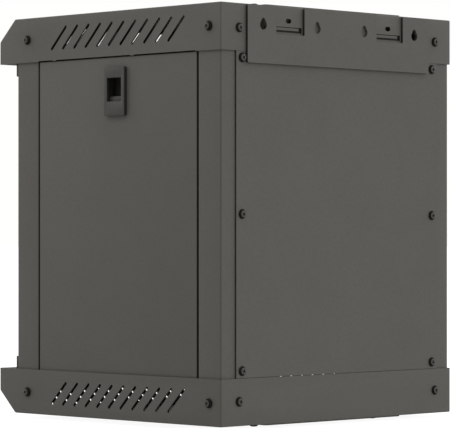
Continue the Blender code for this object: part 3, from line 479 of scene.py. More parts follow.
def vent_tools(tools):
    """Straight slots in the slope, and slots under the fan."""
    slope = Vector((CHAMFER_DEPTH, CHAMFER_HEIGHT))
    start = Vector((FRONT, HEIGHT - CHAMFER_HEIGHT))
    tilt = math.atan2(slope.y, slope.x)
    middle = start + slope * FRONT_VENT_MIDDLE
    for number in range(FRONT_VENTS):
        x = (number - (FRONT_VENTS - 1) / 2) * FRONT_VENT_PITCH
        outline = slot((x, 0), slope.length * FRONT_VENT_LENGTH, FRONT_VENT_WIDTH, RIGHT_ANGLE)
        piece = bmesh.new()
        add_prism(piece, outline, "xy", -2 * SHEET, 2 * SHEET)
        bmesh.ops.transform(piece, verts=piece.verts, matrix=Matrix.Translation(
            (0, middle.x, middle.y)) @ Matrix.Rotation(tilt, 4, "X"))
        append(tools, piece)
    for number in range(FAN_VENTS):
        x = (number - (FAN_VENTS - 1) / 2) * FAN_VENT_PITCH
        outline = slot((x, FAN_Y), FAN_VENT_LENGTH, FAN_VENT_WIDTH, RIGHT_ANGLE)
        add_prism(tools, outline, "xy", HEIGHT - 2 * SHEET, HEIGHT + SHEET)


def append(bm, piece):
    """Add a second bmesh's faces to the first, and free the second."""
    mesh = bpy.data.meshes.new("part")
    piece.to_mesh(mesh)
    piece.free()
    bm.from_mesh(mesh)
    bpy.data.meshes.remove(mesh)


def cap_hole_tools(tools, cover_places):
    """Screw holes, the hinge pin's hole and the cable entries of one cap."""
    for y in SIDE_SCREWS.values():
        outline = circle((y, HEIGHT - SIDE_SCREW_INSET), SCREW_HOLE)
        add_prism(tools, outline, "yz", -SIDE - SHEET, SIDE + SHEET)
    for side in SIDES.values():
        add_prism(tools, circle((side * REAR_SCREW_X, HEIGHT - REAR_SCREW_INSET), SCREW_HOLE), "xz",
                  BACK - 2 * SHEET, BACK + SHEET)
    add_prism(tools, circle((HINGE_X, HINGE_Y), HINGE_HOLE), "xy", FLANGE_LOW - SHEET,
              FLANGE_LOW + 2 * SHEET)
    through = (HEIGHT - 2 * SHEET, HEIGHT + SHEET)
    for y in cover_places:
        entry = rectangle((-ENTRY_HALF_X, ENTRY_HALF_X), (y - ENTRY_HALF_Y, y + ENTRY_HALF_Y), 0.004)
        add_prism(tools, entry, "xy", *through)
        for side in SIDES.values():
            add_prism(tools, circle((side * COVER_SCREW_X, y), SCREW_HOLE), "xy", *through)


def top_cap():
    """The tray with relief tabs over the panels and openings behind the bracket."""
    item = cap_body("top_cap_shell")
    panel_min, panel_max = shell_box("side_panel_right")
    for side in SIDES.values():
        tabs = bmesh.new()
        for y in RELIEF_TABS:
            add_box(tabs, span(side, SIDE - SHEET, SIDE - TINY),
                    (y - RELIEF_TAB_WIDTH / 2, y + RELIEF_TAB_WIDTH / 2),
                    (panel_max.z + GAP, FLANGE_LOW + SHEET))
        carve(item, tabs, None, "UNION")
    tools = bmesh.new()
    side_vent_tools(tools, 1)
    vent_tools(tools)
    cap_hole_tools(tools, (REAR_COVER_Y,))
    edges = [panel_min.y]
    for tab in RELIEF_TABS:
        edges += [tab - RELIEF_TAB_WIDTH / 2, tab + RELIEF_TAB_WIDTH / 2]
    edges.append(panel_max.y)
    for start, end in zip(edges[::2], edges[1::2]):
        add_box(tools, (-SIDE - SHEET, SIDE + SHEET), (start, end),
                (FLANGE_LOW - SHEET, FLANGE_LOW + FLANGE_RELIEF))
    through = (BACK - 2 * SHEET, BACK + SHEET)
    for side in SIDES.values():
        centre = side * NOTCH_CENTRE + BRACKET_SHIFT
        window = rectangle((centre - HOOK_SLOT_HALF, centre + HOOK_SLOT_HALF),
                           (HOOK_SLOT_LOW, HOOK_SLOT_HIGH), 0.0006)
        add_prism(tools, window, "xz", *through)
        outline = slot((centre, HOOK_SCREW_Z), HOOK_SCREW_LENGTH, HOOK_SCREW_WIDTH)
        add_prism(tools, outline, "xz", *through)
        keyhole_x = side * KEYHOLES[0] + BRACKET_SHIFT
        outline = circle((keyhole_x, (KEYHOLE_LOW + KEYHOLE_HIGH) / 2), 2 * KEYHOLE_ROUND)
        add_prism(tools, outline, "xz", *through)
    # Painted shade: the cut walls take the near-black edge shade.
    carve(item, tools, EDGE_SHADE)
    paint_shade_on_folds(item)
    return settle(item, "cabinet", "paint", "top_cap")


def bottom_cap():
    """The same tray turned over, with two cable entries."""
    item = cap_body("bottom_cap_shell")
    tools = bmesh.new()
    side_vent_tools(tools, -1)
    vent_tools(tools)
    cap_hole_tools(tools, (REAR_COVER_Y, FRONT_COVER_Y))
    # Painted shade: the cut walls take the near-black edge shade.
    carve(item, tools, EDGE_SHADE)
    paint_shade_on_folds(item)
    turn_over(item)
    return settle(item, "cabinet", "paint", "bottom_cap")


# ---- frame --------------------------------------------------------------------------------
def post(name, side, rear):
    """A folded corner post with rounded bends."""
    low, high = shell_box(name)
    outer = abs(low.x if side < 0 else high.x)
    leg_end = abs(high.x if side < 0 else low.x)
    face, end, inward = (high.y, low.y, -1) if rear else (low.y, high.y, 1)
    fold_end = outer - 0.0109
    outline = fillet([
        (leg_end, face, 0), (outer, face, FOLD), (outer, end, FOLD), (fold_end, end, 0),
        (fold_end, end - inward * SHEET, 0), (outer - SHEET, end - inward * SHEET, INNER_FOLD),
        (outer - SHEET, face + inward * SHEET, INNER_FOLD),
        (leg_end, face + inward * SHEET, 0)])
    bm = bmesh.new()
    add_prism(bm, mirrored(outline, side), "xy", low.z, high.z)
    item = make(name + "_fold", bm, PAINT)
    tools = bmesh.new()
    x_range = span(side, outer - 2 * SHEET, outer + SHEET)
    for height in (SIDE_SCREW_INSET, HEIGHT - SIDE_SCREW_INSET):
        outline = circle((SIDE_SCREWS["rear" if rear else "front"], height), SCREW_HOLE)
        add_prism(tools, outline, "yz", *x_range)
    if rear:
        spots = [(REAR_SCREW_X, REAR_SCREW_INSET), (REAR_SCREW_X, HEIGHT - REAR_SCREW_INSET)]
        spots += [(BACK_SCREW_X, height) for height in BACK_SCREW_HEIGHTS]
        for x, height in spots:
            add_prism(tools, circle((side * x, height), SCREW_HOLE), "xz", face - 2 * SHEET, face + SHEET)
    # Painted shade: the hole walls take the near-black edge shade.
    carve(item, tools, EDGE_SHADE)
    # Painted shade: the legs' end faces are near-black, for the shade in the gaps beside the panels.
    paint_faces(item, EDGE_SHADE, lambda normal, centre: abs(normal.y) > 0.9
                and min(abs(centre.y - end), abs(centre.y - end + inward * SHEET)) < TINY)
    paint_shade_on_folds(item)
    return settle(item, "cabinet", "paint", name)


def rack_rail(name, side):
    """An L with three square holes in every unit of height."""
    low, high = shell_box(name)
    inner, outer = sorted((abs(low.x), abs(high.x)))
    outline = fillet([
        (inner, low.y, CORNER), (outer, low.y, FOLD), (outer, high.y, CORNER),
        (outer - SHEET, high.y, CORNER), (outer - SHEET, low.y + SHEET, INNER_FOLD),
        (inner, low.y + SHEET, CORNER)])
    bm = bmesh.new()
    add_prism(bm, mirrored(outline, side), "xy", low.z, high.z)
    item = make(name + "_fold", bm, INNER_PAINT)
    tools = bmesh.new()
    first_unit = HEIGHT / 2 - UNITS * UNIT / 2
    for unit in range(UNITS):
        for hole in UNIT_HOLES:
            z = first_unit + unit * UNIT + hole
            square = rectangle((side * (HOLE_X - HOLE_HALF), side * (HOLE_X + HOLE_HALF)),
                               (z - HOLE_HALF, z + HOLE_HALF), 0.0004)
            add_prism(tools, square, "xz", low.y - SHEET, low.y + 2 * SHEET)
    # Painted shade: the hole walls take the near-black edge shade.
    carve(item, tools, EDGE_SHADE)
    return settle(item, "cabinet", "inner_paint", name)


def rail_bar(name, side):
    """A slotted depth bar with folded feet and a stiffening lip."""
    low, high = shell_box(name)
    web = min(abs(low.x), abs(high.x))
    outline = fillet([
        (web, low.y, FOLD), (web + BAR_FOOT, low.y, CORNER), (web + BAR_FOOT, low.y + SHEET, CORNER),
        (web + SHEET, low.y + SHEET, INNER_FOLD), (web + SHEET, high.y - SHEET, INNER_FOLD),
        (web + BAR_FOOT, high.y - SHEET, CORNER), (web + BAR_FOOT, high.y, CORNER),
        (web, high.y, FOLD)])
    bm = bmesh.new()
    add_prism(bm, mirrored(outline, side), "xy", low.z, high.z)
    item = make(name + "_fold", bm, INNER_PAINT)
    lip = bmesh.new()
    add_box(lip, span(side, web + SHEET / 2, web + BAR_LIP), (low.y + BAR_FOOT, high.y - BAR_FOOT),
            (high.z - SHEET, high.z - SHEET / 100))
    carve(item, lip, None, "UNION")
    tools = bmesh.new()
    for number in range(BAR_SLOTS):
        y = FAN_Y + (number - (BAR_SLOTS - 1) / 2) * BAR_SLOT_PITCH
        outline = slot((y, (low.z + high.z) / 2), BAR_SLOT_LENGTH, BAR_SLOT_WIDTH)
        add_prism(tools, outline, "yz", *span(side, web - SHEET, web + 2 * SHEET))
    # Painted shade: the slot walls take the near-black edge shade.
    carve(item, tools, EDGE_SHADE)
    return settle(item, "cabinet", "inner_paint", name)


# ---- panels and covers --------------------------------------------------------------------
def bolt_slot(tools, side, z_range):
    """Room for the latch's bolt to slide through a wall at the given heights."""
    bolt_back = shell_box("latch_slider_right")[0].x
    add_box(tools, span(side, bolt_back - 2 * GAP, bolt_back + BOLT_THICK + 2 * GAP),
            (LATCH_Y - BOLT_HALF - 2 * GAP, LATCH_Y + BOLT_HALF + 2 * GAP),
            z_range)


def paint_light_on_front(item, side, outer):
    """Painted light: the latch's outward face takes a lighter colour than its walls, as if lit more."""
    paint_faces(item, LATCH_LIT_FACE, lambda normal, centre: normal.x * side > 0.8
                and abs(centre.x) > outer - CORNER)


def side_panel(name, side, body):
    """A folded tray with rounded rims, a cut-out for the latch and a slot for its bolt."""
    low, high = shell_box(name)
    outer, inner = sorted((abs(low.x), abs(high.x)), reverse=True)
    bm = bmesh.new()
    add_box(bm, span(side, inner - 4 * SHEET, outer), (low.y, high.y), (low.z, high.z))
    item = make(name + "_tray", bm, PAINT)
    soften(item, PANEL_FOLD, 4)
    tools = bmesh.new()
    add_box(tools, span(side, inner - 8 * SHEET, outer - THIN_SHEET),
            (low.y + THIN_SHEET, high.y - THIN_SHEET), (low.z + THIN_SHEET, high.z - THIN_SHEET))
    carve(item, tools)
    tools = bmesh.new()
    add_box(tools, span(side, inner - 8 * SHEET, inner), (2 * low.y, 2 * high.y), (0, 2 * high.z))
    carve(item, tools)
    tools = bmesh.new()
    around = POCKET_WALL + GAP
    window = rectangle((LATCH_Y - POCKET_HALF - around, LATCH_Y + POCKET_HALF + around),
                       (POCKET_LOW - around, POCKET_HIGH + around), 0.0005)
    add_prism(tools, window, "yz", *span(side, outer - 3 * SHEET, outer + SHEET))
    bolt_slot(tools, side, (high.z - 2 * THIN_SHEET, high.z + THIN_SHEET))
    # Painted shade: the cut walls take the near-black edge shade.
    carve(item, tools, EDGE_SHADE)
    # Painted shade: the panel's rim faces are near-black, for the shade in the gaps round the panel.
    rims = ((1, low.y), (1, high.y), (2, low.z), (2, high.z))
    paint_faces(item, EDGE_SHADE, lambda normal, centre: abs(normal.x) < 0.3
                and any(abs(centre[axis] - edge) < TINY for axis, edge in rims))
    return settle(item, body, "paint", name)


def latch_housing(name, side, body):
    """Bezel, sleeve behind it and the window for a fingertip."""
    low, high = shell_box(name)
    outer, inner = sorted((abs(low.x), abs(high.x)), reverse=True)
    face = shell_box("side_panel_right")[1].x + GAP
    bm = bmesh.new()
    add_prism(bm, rectangle((low.y, high.y), (low.z, high.z), 0.0012), "yz",
              *span(side, face, outer))
    item = make(name + "_bezel", bm, LATCH_BLACK)
    sleeve = bmesh.new()
    half = POCKET_HALF + POCKET_WALL
    add_box(sleeve, span(side, inner, face + 2 * GAP), (LATCH_Y - half, LATCH_Y + half),
            (POCKET_LOW - POCKET_WALL, POCKET_HIGH + POCKET_WALL))
    carve(item, sleeve, None, "UNION")
    tools = bmesh.new()
    add_box(tools, span(side, inner - SHEET, face), (LATCH_Y - POCKET_HALF, LATCH_Y + POCKET_HALF),
            (POCKET_LOW, POCKET_HIGH))
    carve(item, tools)
    tools = bmesh.new()
    window = rectangle((LATCH_Y - WINDOW_HALF, LATCH_Y + WINDOW_HALF), (WINDOW_LOW, WINDOW_HIGH), 0.0006)
    add_prism(tools, window, "yz", *span(side, face - SHEET, outer + SHEET))
    bolt_slot(tools, side, (POCKET_HIGH - SHEET, POCKET_HIGH + 2 * POCKET_WALL))
    carve(item, tools)
    soften(item, 0.0004, 2)
    paint_light_on_front(item, side, outer)
    return settle(item, body, "latch_plastic", name)


def latch_slider(name, side, body):
    """The finger ledge seen in the window, the wall behind it and the bolt on top."""
    low, high = shell_box(name)
    outer, back = sorted((abs(low.x), abs(high.x)), reverse=True)
    ledge = [(back, SLIDER_TAB - BOLT_THICK), (outer - BOLT_THICK, SLIDER_TAB - BOLT_THICK),
             (outer - BOLT_THICK, low.z), (outer, low.z), (outer, SLIDER_TAB),
             (back + BOLT_THICK, SLIDER_TAB), (back + BOLT_THICK, SLIDER_TOP), (back, SLIDER_TOP)]
    bm = bmesh.new()
    add_prism(bm, mirrored(ledge, side), "xz", low.y, high.y)
    item = make(name + "_ledge", bm, LATCH_BLACK)
    bolt = bmesh.new()
    add_box(bolt, span(side, back, back + BOLT_THICK), (LATCH_Y - BOLT_HALF, LATCH_Y + BOLT_HALF),
            (SLIDER_TOP - BOLT_THICK, high.z))
    carve(item, bolt, None, "UNION")
    soften(item, 0.0003, 2)
    paint_light_on_front(item, side, outer)
    return settle(item, body, "latch_plastic", name)


def back_panel():
    low, high = shell_box("back_panel")
    bm = bmesh.new()
    # Painted shade: the sheet's edge walls are near-black.
    add_prism(bm, rectangle((low.x, high.x), (low.z, high.z), 0.0008), "xz", low.y, high.y, 1)
    item = make("back_panel_sheet", bm, PAINT, EDGE_SHADE)
    tools = bmesh.new()
    for side in SIDES.values():
        for z in BACK_SCREW_HEIGHTS:
            outline = circle((side * BACK_SCREW_X, z), SCREW_HOLE)
            add_prism(tools, outline, "xz", low.y - SHEET, high.y + SHEET)
    # Painted shade: the hole walls take the near-black edge shade.
    carve(item, tools, EDGE_SHADE)
    return settle(item, "cabinet", "paint", "back_panel")


def keyhole(x):
    """A round hole for a screw head with a narrower slot above it."""
    start = math.acos(KEYHOLE_SLOT / KEYHOLE_ROUND)
    outline = []
    for step in range(25):
        angle = math.pi - start + (math.pi + 2 * start) * step / 24
        outline.append((x + KEYHOLE_ROUND * math.cos(angle), KEYHOLE_LOW + KEYHOLE_ROUND * math.sin(angle)))
    for step in range(13):
        angle = math.pi * step / 12
        outline.append((x + KEYHOLE_SLOT * math.cos(angle), KEYHOLE_HIGH + KEYHOLE_SLOT * math.sin(angle)))
    return outline


def wall_bracket():
    low, high = shell_box("wall_bracket")
    corner, notch = 0.0015, 0.0008
    points = [(low.x, low.z, corner), (high.x, low.z, corner), (high.x, high.z, corner)]
    for side in (1, -1):
        centre = side * NOTCH_CENTRE + BRACKET_SHIFT
        right, left = centre + NOTCH_HALF, centre - NOTCH_HALF
        points += [(right, high.z, notch), (right, NOTCH_LOW, notch), (left, NOTCH_LOW, notch),
                   (left, high.z, notch)]
    points.append((low.x, high.z, corner))
    bm = bmesh.new()
    # Painted shade: the plate's outline edge walls, notch walls included, are near-black.
    add_prism(bm, fillet(points), "xz", low.y, high.y, 1)
    item = make("wall_bracket_plate", bm, PAINT, EDGE_SHADE)
    tools = bmesh.new()
    for side in SIDES.values():
        for x in KEYHOLES:
            add_prism(tools, keyhole(side * x + BRACKET_SHIFT), "xz", low.y - SHEET, high.y + SHEET)
    carve(item, tools, PAINT)
    return settle(item, "cabinet", "paint", "wall_bracket")


def wall_hook(name, side):
    """A plate behind the cap's rear skirt, its tongue coming out of the slot."""
    low, high = shell_box(name)
    inner = BACK - SHEET - GAP
    start = (HOOK_SLOT_LOW + HOOK_SLOT_HIGH - HOOK_THICK) / 2 + 2 * GAP
    slot_x = side * NOTCH_CENTRE + BRACKET_SHIFT
    centre, edge = slot_x + HOOK_SHIFT, 0.0003
    bm = bmesh.new()
    add_prism(bm, rectangle((low.x, high.x), (low.z, high.z), 0.0008), "xz", inner - SHEET, inner)
    item = make(name + "_tongue", bm, PAINT)
    tongue = bmesh.new()
    outline = rectangle((inner - SHEET / 2, high.y), (start, start + HOOK_THICK), edge)
    add_prism(tongue, outline, "yz", centre - HOOK_HALF, centre + HOOK_HALF)
    carve(item, tongue, None, "UNION")
    tools = bmesh.new()
    outline = slot((slot_x, HOOK_SCREW_Z), HOOK_SCREW_LENGTH, HOOK_SCREW_WIDTH)
    add_prism(tools, outline, "xz", inner - 2 * SHEET, inner + SHEET)
    # Painted shade: the slot walls take the near-black edge shade.
    carve(item, tools, EDGE_SHADE)
    # Painted shade: the plate's face seen through the cap's slot is near-black.
    paint_faces(item, EDGE_SHADE, lambda normal, centre: abs(centre.y - inner) < TINY)
    return settle(item, "cabinet", "paint", name)


def cable_cover(name):
    low, high = shell_box(name)
    bm = bmesh.new()
    add_prism(bm, rectangle((low.x, high.x), (low.y, high.y), 0.003), "xy", low.z, high.z)
    item = make(name + "_plate", bm, PAINT)
    soften(item, 0.0004, 3)
    tools = bmesh.new()
    for side in SIDES.values():
        add_prism(tools, circle((side * COVER_SCREW_X, (low.y + high.y) / 2), SCREW_HOLE), "xy",
                  low.z - SHEET, high.z + SHEET)
    # Painted shade: the hole walls take the near-black edge shade.
    carve(item, tools, EDGE_SHADE)
    return settle(item, "cabinet", "paint", name)


# ---- door ---------------------------------------------------------------------------------
def glass_door():
    low, high = shell_box("glass_door")
    bm = bmesh.new()
    add_prism(bm, rectangle((low.x, high.x), (low.z, high.z), 0.0025), "xz", low.y, high.y)
    item = make("glass_door_pane", bm, GLASS)
    soften(item, 0.0006, 2)
    tools = bmesh.new()
    add_prism(tools, circle((LOCK_X, LOCK_Z), 0.0083, 40), "xz", low.y - SHEET, high.y + SHEET)
    carve(item, tools)
    settle(item, "door", "glass", "glass_door")
    item.data.shade_flat()
    return item


def hinge_clamp(name, top):
    """A cast block that grips the glass's corner, with a sunk clamping screw in its face."""
    low, high = shell_box("hinge_clamp_upper")
    pane_low, pane_high = shell_box("glass_door")
    rounding = 0.0015
    outline = fillet([(low.x, low.y, 0.001), (high.x, low.y, rounding), (high.x, high.y, rounding),
                      (low.x, high.y, 0.001)], 8)
    bm = bmesh.new()
    add_prism(bm, outline, "xy", low.z, high.z)
    item = make(name + "_block", bm, CLAMP_BLACK)
    soften(item, 0.0006, 3)
    tools = bmesh.new()
    add_box(tools, (low.x - SHEET, pane_high.x + GAP), (pane_low.y - GAP, pane_high.y + GAP),
            (low.z - SHEET, pane_high.z + GAP))
    carve(item, tools)
    tools = bmesh.new()
    add_prism(tools, circle((HINGE_X, HINGE_Y), HINGE_HOLE, 24), "xy", pane_high.z - SHEET, high.z + SHEET)
    add_turned(tools, [(0, 0), (0.0023, 0), (0.0023, 0.003), (0, 0.003)],
               (CLAMP_SCREW_X, low.y - 0.0018, (low.z + high.z) / 2), (0, 1, 0), 24)
    carve(item, tools)
    if not top:
        turn_over(item)
    return settle(item, "door", "clamp_black", name)


def clamp_screw(name, top):
    """The socket-head grub screw sunk in a hinge clamp."""
    low, high = shell_box("hinge_clamp_upper")
    bm = bmesh.new()
    start = low.y + 0.0005
    add_turned(bm, [(0, 0), (0.0019, 0), (0.0021, 0.0002), (0.0021, 0.0006), (0, 0.0006)],
               (CLAMP_SCREW_X, start, (low.z + high.z) / 2), (0, 1, 0), 24)
    item = make(name, bm, SCREW_BLACK)
    tools = bmesh.new()
    add_turned(tools, [(0, -0.001), (0.0011, -0.001), (0.0011, 0.0004), (0, 0.0004)],
               (CLAMP_SCREW_X, start, (low.z + high.z) / 2), (0, 1, 0), 6)
    carve(item, tools)
    if not top:
        turn_over(item)
    smooth(item)
    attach(item, "door")
    return item


def arc(centre, radius, start, end, steps):
    """Points of a profile's rounding, (radius, height), from one angle to another."""
    angles = [start + (end - start) * step / steps for step in range(steps + 1)]
    return [(centre[0] + radius * math.cos(a), centre[1] + radius * math.sin(a)) for a in angles]


def hinge_pin(name):
    low, high = shell_box(name)
    upper = low.z > HEIGHT / 2
    long = high.z - low.z
    profile = [(0, 0), (0.0021, 0), (0.0025, 0.0004), (0.0025, long - SHEET), (0.0042, long - SHEET),
               (0.0042, long - 0.0003), (0.0039, long), (0, long)]
    bm = bmesh.new()
    start = low.z if upper else high.z
    add_turned(bm, profile, (HINGE_X, HINGE_Y, start), (0, 0, 1 if upper else -1))
    item = make(name + "_turned", bm, ZINC)
    return settle(item, "cabinet", "zinc", name)


def lock_housing():
    """A turned body through the glass, hollow for the cylinder, with its nut."""
    low, high = shell_box("lock_housing")
    centre_x, centre_z = (low.x + high.x) / 2, (low.z + high.z) / 2
    pane_low, pane_high = shell_box("glass_door")
    bore, face, barrel, nut = 0.0054, 0.0120, 0.0078, 0.0101
    seat, nut_low, nut_high = pane_low.y - GAP - low.y, pane_high.y + GAP - low.y, high.y - low.y
    profile = [(bore, 0.0009), (bore + 0.0006, 0.0002), (bore + 0.0012, 0)]
    profile += arc((face - 0.0022, 0.0022), 0.0022, -RIGHT_ANGLE, 0, 6)
    profile += [(face, seat), (barrel, seat), (barrel, nut_low), (nut, nut_low),
                (nut, nut_high - 0.0005), (nut - 0.0005, nut_high), (bore, nut_high)]
    bm = bmesh.new()
    add_turned(bm, profile, (centre_x, low.y, centre_z), (0, 1, 0), 48)
    rims = [edge for edge in bm.edges if edge.is_boundary]
    bmesh.ops.bridge_loops(bm, edges=rims)
    item = make("lock_body", bm, CLAMP_BLACK)
    return settle(item, "door", "clamp_black", "lock_housing")


def lock_cylinder():
    low, high = shell_box("lock_cylinder")
    centre_x, centre_z = (low.x + high.x) / 2, (low.z + high.z) / 2
    radius, long = 0.0049, high.y - low.y
    profile = [(0, 0)] + arc((radius - 0.0006, 0.0006), 0.0006, -RIGHT_ANGLE, 0, 4)
    profile += [(radius, long), (0, long)]
    bm = bmesh.new()
    add_turned(bm, profile, (centre_x, low.y, centre_z), (0, 1, 0), 40)
    item = make("lock_core", bm, ZINC)
    tools = bmesh.new()
    keyway = rectangle((centre_x - 0.0008, centre_x + 0.0008), (centre_z - 0.0032, centre_z + 0.0032),
                       0.0003)
    add_prism(tools, keyway, "xz", low.y - SHEET, low.y + 2 * SHEET)
    # Painted shade: the keyway's walls take the near-black edge shade.
    carve(item, tools, EDGE_SHADE)
    return settle(item, "lock_core", "zinc", "lock_cylinder")


def lock_cam():
    low, high = shell_box("lock_cam")
    centre_x, half = (low.x + high.x) / 2, (high.x - low.x) / 2
    bm = bmesh.new()
    outline = slot((centre_x, (low.z + high.z) / 2), high.z - low.z, 2 * half, RIGHT_ANGLE)
    add_prism(bm, outline, "xz", low.y, high.y)
    item = make("lock_blade", bm, ZINC)
    soften(item, 0.0003, 2)
    return settle(item, "lock_core", "zinc", "lock_cam")


# ---- small hardware -----------------------------------------------------------------------
def screw_mesh(head_thick):
    """A pan-head screw with a cross recess, its seat at the origin and its head upwards."""
    radius, top_radius, shank, long = 0.0043, 0.0030, 0.0019, 0.008
    shoulder, crown = head_thick * 0.16, head_thick * 0.86
    profile = [(0, -long), (shank - 0.0005, -long), (shank, 0.0005 - long), (shank, 0), (radius, 0),
               (radius, shoulder), (radius * 0.94, head_thick * 0.36), (radius * 0.82, head_thick * 0.62),
               (top_radius, crown), (top_radius * 0.6, head_thick * 0.96), (0, head_thick)]
    bm = bmesh.new()
    add_turned(bm, profile)
    item = make("screw", bm, SCREW_BLACK)
    item.data.transform(Matrix.Translation(-SHELL))
    # Painted light: the crown gets a lighter grey than the black walls of the head.
    item.data.materials.append(SCREW_LIT_CROWN)
    for face in item.data.polygons:
        if face.center.z > crown:
            face.material_index = 1
    arm, width, depth = 0.0019, 0.00045, 0.0014
    cross = [(width, width), (width, arm), (-width, arm), (-width, width), (-arm, width),
             (-arm, -width), (-width, -width), (-width, -arm), (width, -arm), (width, -width),
             (arm, -width), (arm, width)]
    tools = bmesh.new()
    add_prism(tools, cross, "xy", head_thick - depth, head_thick + SHEET)
    bmesh.ops.translate(tools, vec=-SHELL, verts=tools.verts)
    # Painted shade: the cross recess takes the near-black edge shade.
    carve(item, tools, EDGE_SHADE)
    smooth(item)
    mesh = item.data
    bpy.data.objects.remove(item)
    return mesh


def screws():
    """Every screw stands where its CAD node does, its head outwards."""
    meshes = {kind: screw_mesh(thick) for kind, thick in HEAD_THICKS.items()}
    for number, node in enumerate(sorted(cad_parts)):
        if "_screw_" not in node:
            continue
        low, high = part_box(node)
        sizes = high - low
        axis = max(range(3), key=lambda index: sizes[index])
        outwards = Vector((0, 0, 0))
        outwards[axis] = 1 if (low + high)[axis] > 2 * Vector((0, 0, SHELL.z + HEIGHT / 2))[axis] else -1
        kind = node.split("_")[0]
        head = HEAD_THICKS[kind]
        seat = (low + high) / 2
        seat[axis] = (high[axis] - head) if outwards[axis] > 0 else (low[axis] + head)
        item = bpy.data.objects.new(node + "_pan", meshes[kind])
        bpy.context.collection.objects.link(item)
        turn = Matrix.Rotation(math.radians(37 * number), 4, "Z")
        aim = Vector((0, 0, 1)).rotation_difference(outwards).to_matrix().to_4x4()
        item.matrix_world = Matrix.Translation(seat) @ aim @ turn
        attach(item, "cabinet")
        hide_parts(node)


def earth_stud():
    """A threaded stud standing out of its hexagon nut."""
    low, high = shell_box("earth_stud")
    place = ((low.x + high.x) / 2, (low.y + high.y) / 2, low.z)
    bm = bmesh.new()
    add_turned(bm, [(0, 0), (0.0044, 0), (0.0047, 0.0003), (0.0047, 0.0047), (0.0044, 0.005), (0, 0.005)],
               place, (0, 0, 1), 6)
    item = make("earth_stud_nut", bm, ZINC)
    stud = bmesh.new()
    long = high.z - low.z
    profile = [(0, 0.001)]
    turns = 9
    for step in range(turns):
        base = 0.005 + (long - 0.006) * step / turns
        rise = (long - 0.006) / turns
        profile += [(0.0029, base), (0.0025, base + rise / 2)]
    profile += [(0.0029, long - 0.001), (0.0023, long), (0, long)]
    profile[1] = (0.0029, 0.001)
    add_turned(stud, profile, place, (0, 0, 1), 24)
    carve(item, stud, None, "UNION")
    return settle(item, "cabinet", "zinc", "earth_stud")


def door_bumper(name):
    low, high = shell_box(name)
    long = high.y - low.y
    profile = [(0, 0), (0.0038, 0), (0.0038, 0.0006)]
    profile += arc((0.0021, long - 0.0012), 0.0012, 0, RIGHT_ANGLE, 5)
    profile.append((0, long))
    bm = bmesh.new()
    add_turned(bm, profile, ((low.x + high.x) / 2, high.y, (low.z + high.z) / 2), (0, -1, 0))
    item = make(name + "_pad", bm, RUBBER)
    return settle(item, "cabinet", "rubber", name)


# ---- studio -------------------------------------------------------------------------------
def mix_by_direction(tree):
    """Softbox light all round, dimmer from where the near corner points."""
    place = tree.nodes.new("ShaderNodeTexCoord")
    facing = tree.nodes.new("ShaderNodeVectorMath")
    facing.operation = "DOT_PRODUCT"
    facing.inputs[1].default_value = DIM_DIRECTION
    tree.links.new(place.outputs["Generated"], facing.inputs[0])
    dim = tree.nodes.new("ShaderNodeMapRange")
    dim.interpolation_type = "SMOOTHSTEP"
    dim.inputs["From Min"].default_value = DIM_FROM
    dim.inputs["From Max"].default_value = DIM_TO
    dim.inputs["To Min"].default_value = BRIGHT
    dim.inputs["To Max"].default_value = DIM
    tree.links.new(facing.outputs["Value"], dim.inputs["Value"])
    return dim.outputs["Result"]


def studio_world():
    """White to the camera, and dimmed by direction to everything it lights."""
    world = bpy.data.worlds.new("studio")
    world.use_nodes = True
    bpy.context.scene.world = world
    tree = world.node_tree
    tree.nodes.clear()
    rays = tree.nodes.new("ShaderNodeLightPath")
    seen, light = tree.nodes.new("ShaderNodeBackground"), tree.nodes.new("ShaderNodeBackground")
    tree.links.new(mix_by_direction(tree), light.inputs["Strength"])
    mix, output = tree.nodes.new("ShaderNodeMixShader"), tree.nodes.new("ShaderNodeOutputWorld")
    for background in (seen, light):
        background.inputs["Color"].default_value = (1.0, 1.0, 0.99, 1.0)
    tree.links.new(rays.outputs["Is Camera Ray"], mix.inputs["Fac"])
    tree.links.new(light.outputs["Background"], mix.inputs[1])
    tree.links.new(seen.outputs["Background"], mix.inputs[2])
    tree.links.new(mix.outputs["Shader"], output.inputs["Surface"])


def floor():
    """A plain white floor, mostly self-lit so that it meets the backdrop without a line."""
    bm = bmesh.new()
    half = 30.0
    corners = [(-half, -half, 0), (half, -half, 0), (half, half, 0), (-half, half, 0)]
    bm.faces.new([bm.verts.new(corner) for corner in corners])
    mesh = bpy.data.meshes.new("floor")
    bm.to_mesh(mesh)
    bm.free()
    item = bpy.data.objects.new("floor", mesh)
    bpy.context.collection.objects.link(item)
    material, tree, shader = new_material("floor")
    shader.inputs["Base Color"].default_value = (0.16, 0.16, 0.16, 1.0)
    shader.inputs["Roughness"].default_value = 0.9
    shader.inputs["Emission Color"].default_value = (1.0, 1.0, 1.0, 1.0)
    rays = tree.nodes.new("ShaderNodeLightPath")
    strength = spread(tree, rays.outputs["Is Camera Ray"], 0.5, 0.93, 0.0, 1.0)
    tree.links.new(strength, shader.inputs["Emission Strength"])
    item.data.materials.append(material)


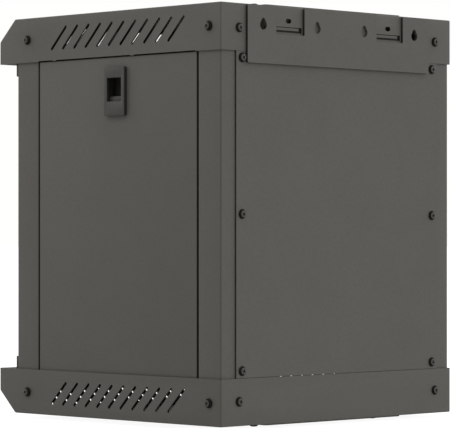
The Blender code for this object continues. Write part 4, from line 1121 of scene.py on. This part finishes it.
def side_light():
    """A soft box above the side face, which makes its upper half a little lighter."""
    data = bpy.data.lights.new("side_light", "AREA")
    data.energy, data.size = LIGHT_ENERGY, LIGHT_SIZE
    item = bpy.data.objects.new("side_light", data)
    item.location = SHELL + Vector(LIGHT_PLACE)
    aim = SHELL + Vector((SIDE, 0, HEIGHT * 0.8)) - item.location
    item.rotation_euler = aim.to_track_quat("-Z", "Y").to_euler()
    bpy.context.collection.objects.link(item)


def camera():
    """Level, at the cabinet's middle height, looking at its right rear corner."""
    data = bpy.data.cameras.new("camera")
    data.sensor_width, data.lens, data.shift_y = CAMERA_SENSOR, CAMERA_LENS, CAMERA_SHIFT
    data.clip_end = 100.0
    item = bpy.data.objects.new("camera", data)
    item.location = SHELL + Vector(CAMERA_PLACE)
    item.rotation_euler = (RIGHT_ANGLE, 0, math.radians(CAMERA_TURN))
    bpy.context.collection.objects.link(item)
    bpy.context.scene.camera = item


# ---- the scene ----------------------------------------------------------------------------
def build():
    top_cap()
    bottom_cap()
    back_panel()
    wall_bracket()
    for side_name, side in SIDES.items():
        post(f"front_post_{side_name}", side, False)
        post(f"rear_post_{side_name}", side, True)
        rack_rail(f"rack_rail_{side_name}", side)
        wall_hook(f"wall_hook_{side_name}", side)
        side_panel(f"side_panel_{side_name}", side, f"panel_{side_name}")
        latch_housing(f"latch_housing_{side_name}", side, f"panel_{side_name}")
        latch_slider(f"latch_slider_{side_name}", side, f"latch_{side_name}")
        for level in ("lower", "upper"):
            rail_bar(f"rail_bar_{level}_{side_name}", side)
    for name in ("cable_cover_top_rear", "cable_cover_bottom_rear", "cable_cover_bottom_front"):
        cable_cover(name)
    glass_door()
    lock_housing()
    lock_cylinder()
    lock_cam()
    for level in ("lower", "upper"):
        hinge_clamp(f"hinge_clamp_{level}", level == "upper")
        clamp_screw(f"clamp_screw_{level}", level == "upper")
        hinge_pin(f"hinge_pin_{level}")
        door_bumper(f"door_bumper_{level}")
    earth_stud()
    screws()


bpy.context.scene.view_settings.view_transform = "Standard"
camera()
studio_world()
side_light()
floor()
build()

bpy.context.view_layer.update()
